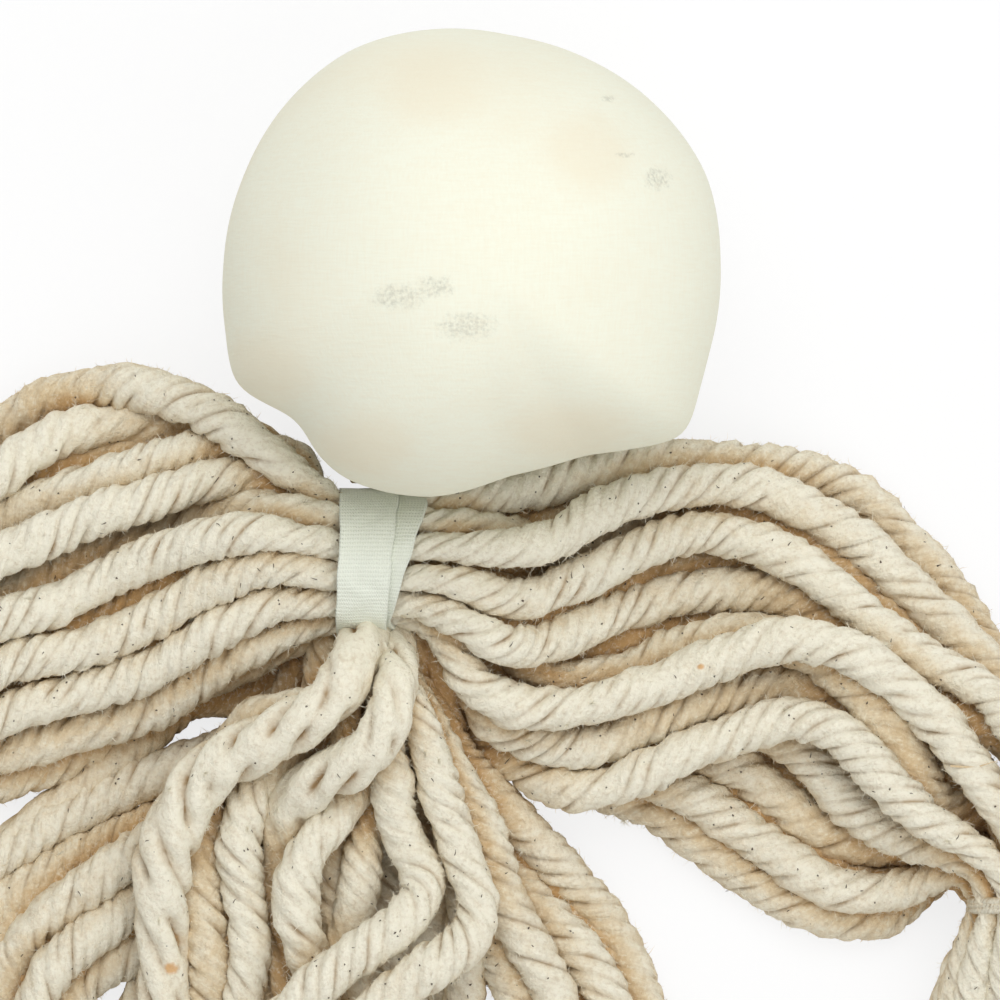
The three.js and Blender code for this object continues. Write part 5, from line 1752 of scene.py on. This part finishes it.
    def tie_ends(self) -> None:
        """Lays the tie's two free ends out of its knot."""
        for word, before in self.tucked:
            node = f"tie_end_{word}"
            path = solid_path(node, self.lead)
            points = [np.array(p) * MM for p in before]
            path = path.extended(points, float(path.radii[0]))
            full = np.interp(path.points[:, 1], [-62 * MM, -45 * MM], [1.0, self.tie_fullness])
            path = Path(path.points, path.radii * full)
            yarn = SpunYarn(f"tie_strand_{word}", 560 + len(word), TIE_SPIN)
            line = yarn.lay(path, node, cut_end=True)
            piece = yarn.piece()
            self.hang(piece)
            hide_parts(node)
            report(piece, "a free end of the waist tie")

    def tie_waist(self, hank: Hank) -> None:
        """Winds the tie round the waist.

        Args:
            hank: the section under the tie.
        """
        half = (hank.half + 0.2 * self.tie_radius) * np.array([0.92, 1.0, 0.94])
        points = coil(hank.centre, (half[0], half[2]), self.tie_rise, 2, 80, start=TURN / 4)
        yarn = SpunYarn("waist_tie_turns", 590, WAIST_SPIN)
        yarn.lay(Path(points, np.full(len(points), self.tie_radius)))
        knot = np.array(self.knot) * MM
        yarn.lay(Path(knot[:, :3], knot[:, 3]))
        piece = yarn.piece()
        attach(piece, "torso")
        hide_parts("waist_tie")
        report(piece, "the tie's turns and knot")

    def build(self) -> None:
        """Builds the whole skirt."""
        hank = Hank(*middle_and_half("waist_yarn"))
        self.lay_visible(hank)
        self.lay_under(hank)
        self.lay_between()
        self.lay_core()
        self.tie_ends()
        self.tie_waist(hank)


def deselect() -> None:
    """Leaves nothing selected."""
    bpy.ops.object.select_all(action="DESELECT")


@dataclass
class Head:
    """The muslin ball with its gathered neck.

    Its outline in plan is a ring of radii in millimetres, at even angles from the right. Each
    corner of its seam is an angle in degrees, a height in millimetres and a width in degrees.
    """

    radii: tuple[float, ...] = (
        37.2, 37.3, 36.0, 34.7, 34.1, 35.0, 36.1, 36.2, 36.2,
        36.9, 38.2, 36.3, 37.5, 35.8, 32.6, 33.6, 39.6, 38.0,
    )
    centre: tuple[float, float] = (13.7 * MM, 44.7 * MM)
    fullness: float = 1.0107
    segments: int = 128
    rings: int = 84
    neck_width: float = math.radians(6.5)
    neck_past_thread: float = 1.5 * MM
    gathers: int = 17
    gather_from: float = math.radians(9)
    gather_width: float = math.radians(11)
    gather_depth: float = 0.45 * MM
    lump_depth: float = 0.35 * MM
    floor_gap: float = 0.25 * MM
    thread: float = 0.45 * MM
    thread_rise: float = 1.2 * MM
    blend: tuple[float, float, float] = (10.5 * MM, 20.0 * MM, 20.0 * MM)
    fill: float = 0.95
    corners: tuple[tuple[float, float, float], ...] = (
        (208.0, 1.9, 7.0), (224.0, -1.0, 6.0), (321.0, 1.2, 7.0),
    )

    def outline(self, angle: float) -> float:
        """Half width of the ball toward a direction in plan, in millimetres.

        Args:
            angle: the direction, in radians from the right.

        Returns:
            The half width.
        """
        count = len(self.radii)
        turn = (angle / TURN) % 1.0 * count
        i = int(turn)
        t = turn - i
        at = [self.radii[(i + k) % count] for k in (-1, 0, 1, 2)]
        bend = (at[0] - 2 * at[1] + at[2]) * (1 - t) + (at[1] - 2 * at[2] + at[3]) * t
        return at[1] * (1 - t) + at[2] * t - bend * t * (1 - t) / 4

    def corner(self, angle: float) -> float:
        """How far the seam's corners stand out toward a direction in plan, in millimetres."""
        here = math.degrees(angle) % 360
        return sum(high * math.exp(-(((here - at) / wide) ** 2)) for at, high, wide in self.corners)

    def ball(self, way: Vector, half: float) -> Vector:
        """Surface of the ball without its neck toward a direction, from its middle.

        Args:
            way: the direction, one unit long.
            half: half the ball's height.

        Returns:
            The place on the surface.
        """
        angle = math.atan2(way.y, way.x)
        flat = math.hypot(way.x, way.y)
        reach = flat * (self.outline(angle) + self.corner(angle) * flat**6) * MM
        return Vector((math.cos(angle) * reach, math.sin(angle) * reach, way.z * half))

    def build(self) -> None:
        """Builds the ball, its neck and the thread round it."""
        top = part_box("head_cover")[1].z
        half = top / 2 * self.fullness
        middle = Vector((*self.centre, top - half))
        neck = Vector(middle_and_half("neck_thread")[0])
        toward = (neck - middle).normalized()
        side = toward.cross(Vector((0, 0, 1))).normalized()
        lift = side.cross(toward)
        reach = (neck - middle).length + self.neck_past_thread
        deselect()
        bpy.ops.mesh.primitive_uv_sphere_add(
            segments=self.segments, ring_count=self.rings, radius=1.0, location=(0, 0, 0))
        piece = bpy.context.object
        piece.name = "muslin_head"
        for vertex in piece.data.vertices:
            way = vertex.co.normalized()
            ball = self.ball(way, half)
            off = way.angle(toward)
            pull = math.exp(-((off / self.neck_width) ** 2))
            turn = math.atan2(way.dot(lift), way.dot(side))
            ripple = math.exp(-(((off - self.gather_from) / self.gather_width) ** 2))
            pleats = math.cos(turn * self.gathers + 0.8 * math.sin(3 * turn))
            lumps = math.sin(way.x * 5.1 + 1.3) * math.sin(way.y * 4.3) * math.sin(way.z * 4.7)
            size = ball.length
            size += (reach - size) * pull + self.gather_depth * pleats * ripple
            size += self.lump_depth * lumps * (1 - pull)
            place = middle + ball.normalized() * size
            place.z = max(place.z, self.floor_gap)
            vertex.co = place
        mesh = piece.data
        mesh.materials.append(Finish.MUSLIN.material())
        mesh.polygons.foreach_set("use_smooth", np.ones(len(mesh.polygons), bool))
        smooth = piece.modifiers.new("smooth", "SUBSURF")
        smooth.levels = smooth.render_levels = 1
        bpy.ops.object.modifier_apply(modifier=smooth.name)
        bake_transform(piece)
        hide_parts("head_cover", "head_stuffing")
        report(piece, "the stuffed muslin ball")
        self.tie_neck()

    def tie_neck(self) -> None:
        """Winds the gathering thread."""
        neck, half = middle_and_half("neck_thread")
        reach = half[0] - self.thread
        points = coil(neck, (reach, reach), self.thread_rise, 2, 60)
        yarn = SpunYarn("neck_thread_turns", 640, THREAD_SPIN)
        yarn.lay(Path(points, np.full(len(points), self.thread)))
        piece = yarn.piece()
        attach(piece, "torso")
        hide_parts("neck_thread")
        report(piece, "the gathering thread")


@dataclass
class TapePass:
    """One pass of woven tape round the hank.

    Its left and right edges are given in millimetres from the doll's middle, at the head side and
    at the foot side of its top.
    """

    node: str
    left: tuple[float, float]
    right: tuple[float, float]
    lift: float
    seed: int
    thickness: float = 0.55 * MM
    steps: int = 176
    across: int = 20
    turns: float = 1.06
    lap: float = 0.35 * MM
    sag: float = 0.12 * MM
    wobble: float = 0.16
    foot_reach: float = 9.0 * MM
    floor_gap: float = 0.34 * MM

    def edges(self, share: float, wobble: list[float]) -> tuple[float, float]:
        """The left and the right edge at a share of the way from the head side to the foot side.

        Args:
            share: the share.
            wobble: how far each edge strays, in millimetres.

        Returns:
            Both places across the doll.
        """
        left, right = (
            (side[0] + (side[1] - side[0]) * share + stray) * MM
            for side, stray in zip((self.left, self.right), wobble)
        )
        return left, right

    def build(self) -> None:
        """Winds the pass round the hank from its underside, a little more than once."""
        centre, half = middle_and_half("shoulder_yarn")
        half = half + self.lift
        deselect()
        bpy.ops.mesh.primitive_grid_add(
            x_subdivisions=self.steps, y_subdivisions=self.across, size=2.0, calc_uvs=True)
        piece = bpy.context.object
        piece.name = f"{self.node}_woven"
        random = np.random.default_rng(self.seed)
        waves = [Wave(random, 2.2, 0.09) for _ in range(4)]
        for vertex in piece.data.vertices:
            u, v = (vertex.co.x + 1) / 2, (vertex.co.y + 1) / 2
            angle = TURN * (0.75 + u * self.turns)
            out_y, out_z = math.cos(angle) * half[1], math.sin(angle) * half[2]
            foot = min(max((self.foot_reach - centre[1] - out_y) / (2 * self.foot_reach), 0.0), 1.0)
            top = min(max(math.sin(angle) + 0.5, 0.0), 1.0)
            wobble = [float(wave.at(np.array([u * 2]))[0]) * self.wobble for wave in waves]
            left, right = self.edges(foot * top + 0.5 * (1 - top), wobble)
            over = self.lap * max(u * self.turns - 1.0, 0.0) / (self.turns - 1.0)
            sag = self.sag * math.sin(v * 9 + wobble[2] * 20) * (0.3 + foot * top)
            grow = 1 + (over + sag) / half[2]
            height = max(centre[2] + out_z * grow, self.floor_gap)
            vertex.co = (left + (right - left) * v, centre[1] + out_y * grow, height)
        mesh = piece.data
        mesh.materials.append(Finish.TAPE.material())
        wall = piece.modifiers.new("wall", "SOLIDIFY")
        wall.thickness = self.thickness
        wall.offset = 0.0
        bpy.ops.object.modifier_apply(modifier=wall.name)
        mesh.polygons.foreach_set("use_smooth", np.ones(len(mesh.polygons), bool))
        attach(piece, "torso")
        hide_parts(self.node, "shoulder_yarn")
        report(piece, "a pass of woven tape")


@dataclass
class Studio:
    """Floor, lamps and the camera that looks straight down."""

    centre: tuple[float, float] = (18 * MM, 9 * MM)
    field_width: float = 150 * MM
    height: float = 3.0
    focus_height: float = 18 * MM
    sensor: float = 36.0
    # Each lamp's name, place, size and power.
    lamps: tuple[tuple[str, tuple[float, float, float], float, float], ...] = (
        ("key", (0.0, 0.48, 0.92), 0.7, 4.8),
        ("fill", (0.45, -0.4, 0.8), 0.9, 2.6),
    )
    sky: float = 0.59
    floor_size: float = 6.0

    def build(self) -> None:
        """Sets up the camera, the lamps and the floor."""
        scene = bpy.context.scene
        scene.view_settings.view_transform = "Standard"
        deselect()
        bpy.ops.object.camera_add(location=(*self.centre, self.height), rotation=(0, 0, 0))
        camera = bpy.context.object
        camera.data.sensor_width = self.sensor
        camera.data.lens = self.sensor * (self.height - self.focus_height) / self.field_width
        camera.data.clip_start = 0.01
        scene.camera = camera
        for lamp in self.lamps:
            self.lamp(*lamp)
        world = bpy.data.worlds.new("studio")
        world.use_nodes = True
        back = world.node_tree.nodes["Background"]
        back.inputs["Color"].default_value = (1.0, 1.0, 1.0, 1.0)
        back.inputs["Strength"].default_value = self.sky
        scene.world = world
        deselect()
        bpy.ops.mesh.primitive_plane_add(size=self.floor_size, location=(0, 0, 0))
        floor = bpy.context.object
        floor.name = "floor"
        floor.data.materials.append(Finish.FLOOR.material())

    def lamp(self, name: str, place: tuple[float, float, float], size: float, power: float) -> None:
        """Adds a square lamp aimed at the doll.

        Args:
            name: the lamp's name.
            place: where it hangs.
            size: its side.
            power: its power in watts.
        """
        data = bpy.data.lights.new(name, "AREA")
        data.size = size
        data.energy = power
        made = bpy.data.objects.new(name, data)
        made.location = place
        aim = Vector((self.centre[0], self.centre[1], 0)) - Vector(place)
        made.rotation_euler = aim.to_track_quat("-Z", "Y").to_euler()
        bpy.context.scene.collection.objects.link(made)


def midway(*pairs: tuple[int, int]) -> tuple[tuple[int, int, float, float], ...]:
    """Fillers that run midway between two of an arm's yarns nearly to the wrist."""
    return tuple((first, second, 0.5, 0.95) for first, second in pairs)


def right_arm() -> Arm:
    """The arm that reaches right, which hides more of its lower yarns.

    Returns:
        The arm, not yet built.
    """
    spread = midway(
        (4, 2), (5, 4), (7, 5), (6, 7), (8, 6), (9, 8), (12, 11), (10, 9), (13, 12), (10, 12))
    return Arm(
        Side.RIGHT, yarns=13, fillers=((2, 1, 0.5, 0.6), (3, 1, 0.4, 0.55), *spread),
        nudges={1: (-0.8, -1.3), 3: (-0.6, -0.4)}, straw=((85.4, -30.8), (92.4, -32.9)),
    )


def left_arm() -> Arm:
    """The arm that reaches left, with open gaps between its lower yarns.

    Returns:
        The arm, not yet built.
    """
    spread = midway((2, 1), (4, 2), (6, 4), (7, 6), (8, 7), (9, 8), (10, 9), (11, 10))
    return Arm(
        Side.LEFT, yarns=12, fillers=(*spread, (11, 12, 0.45, 0.32), (12, 11, 1.0, 0.7)),
        nudges={
            1: (0.0, -2.9), 2: (0.0, -1.8), 3: (0.0, -1.0), 4: (0.0, -0.6), 11: (0.0, 0.6),
            12: (0.3, -0.6),
        },
    )


def main() -> None:
    """Builds the doll and its setting."""
    logging.basicConfig(level=logging.INFO, format="%(message)s")
    Studio().build()
    hank = Hank(*middle_and_half("shoulder_yarn"))
    right, left = right_arm(), left_arm()
    skirt = Skirt()
    leads = {}
    for arm in (right, left):
        leads |= {f"{arm.side.word}_arm_yarn_{n + 1}": arm.lead for n in range(arm.yarns)}
    leads |= {f"skirt_yarn_{n + 1}": skirt.lead for n in range(skirt.yarns)}
    leads |= {f"tie_end_{word}": skirt.lead for word, _ in skirt.tucked}
    SpunYarn.heap = Heap(leads)
    right.build(hank)
    left.build(hank)
    skirt.build()
    Head().build()
    for tape in (
        TapePass("neck_tape_under", left=(-3.0, -3.0), right=(7.2, 1.6), lift=0.75 * MM, seed=71),
        TapePass("neck_tape_over", left=(-5.9, -6.6), right=(2.7, 1.0), lift=1.5 * MM, seed=72),
    ):
        tape.build()


if __name__ == "__main__":
    main()
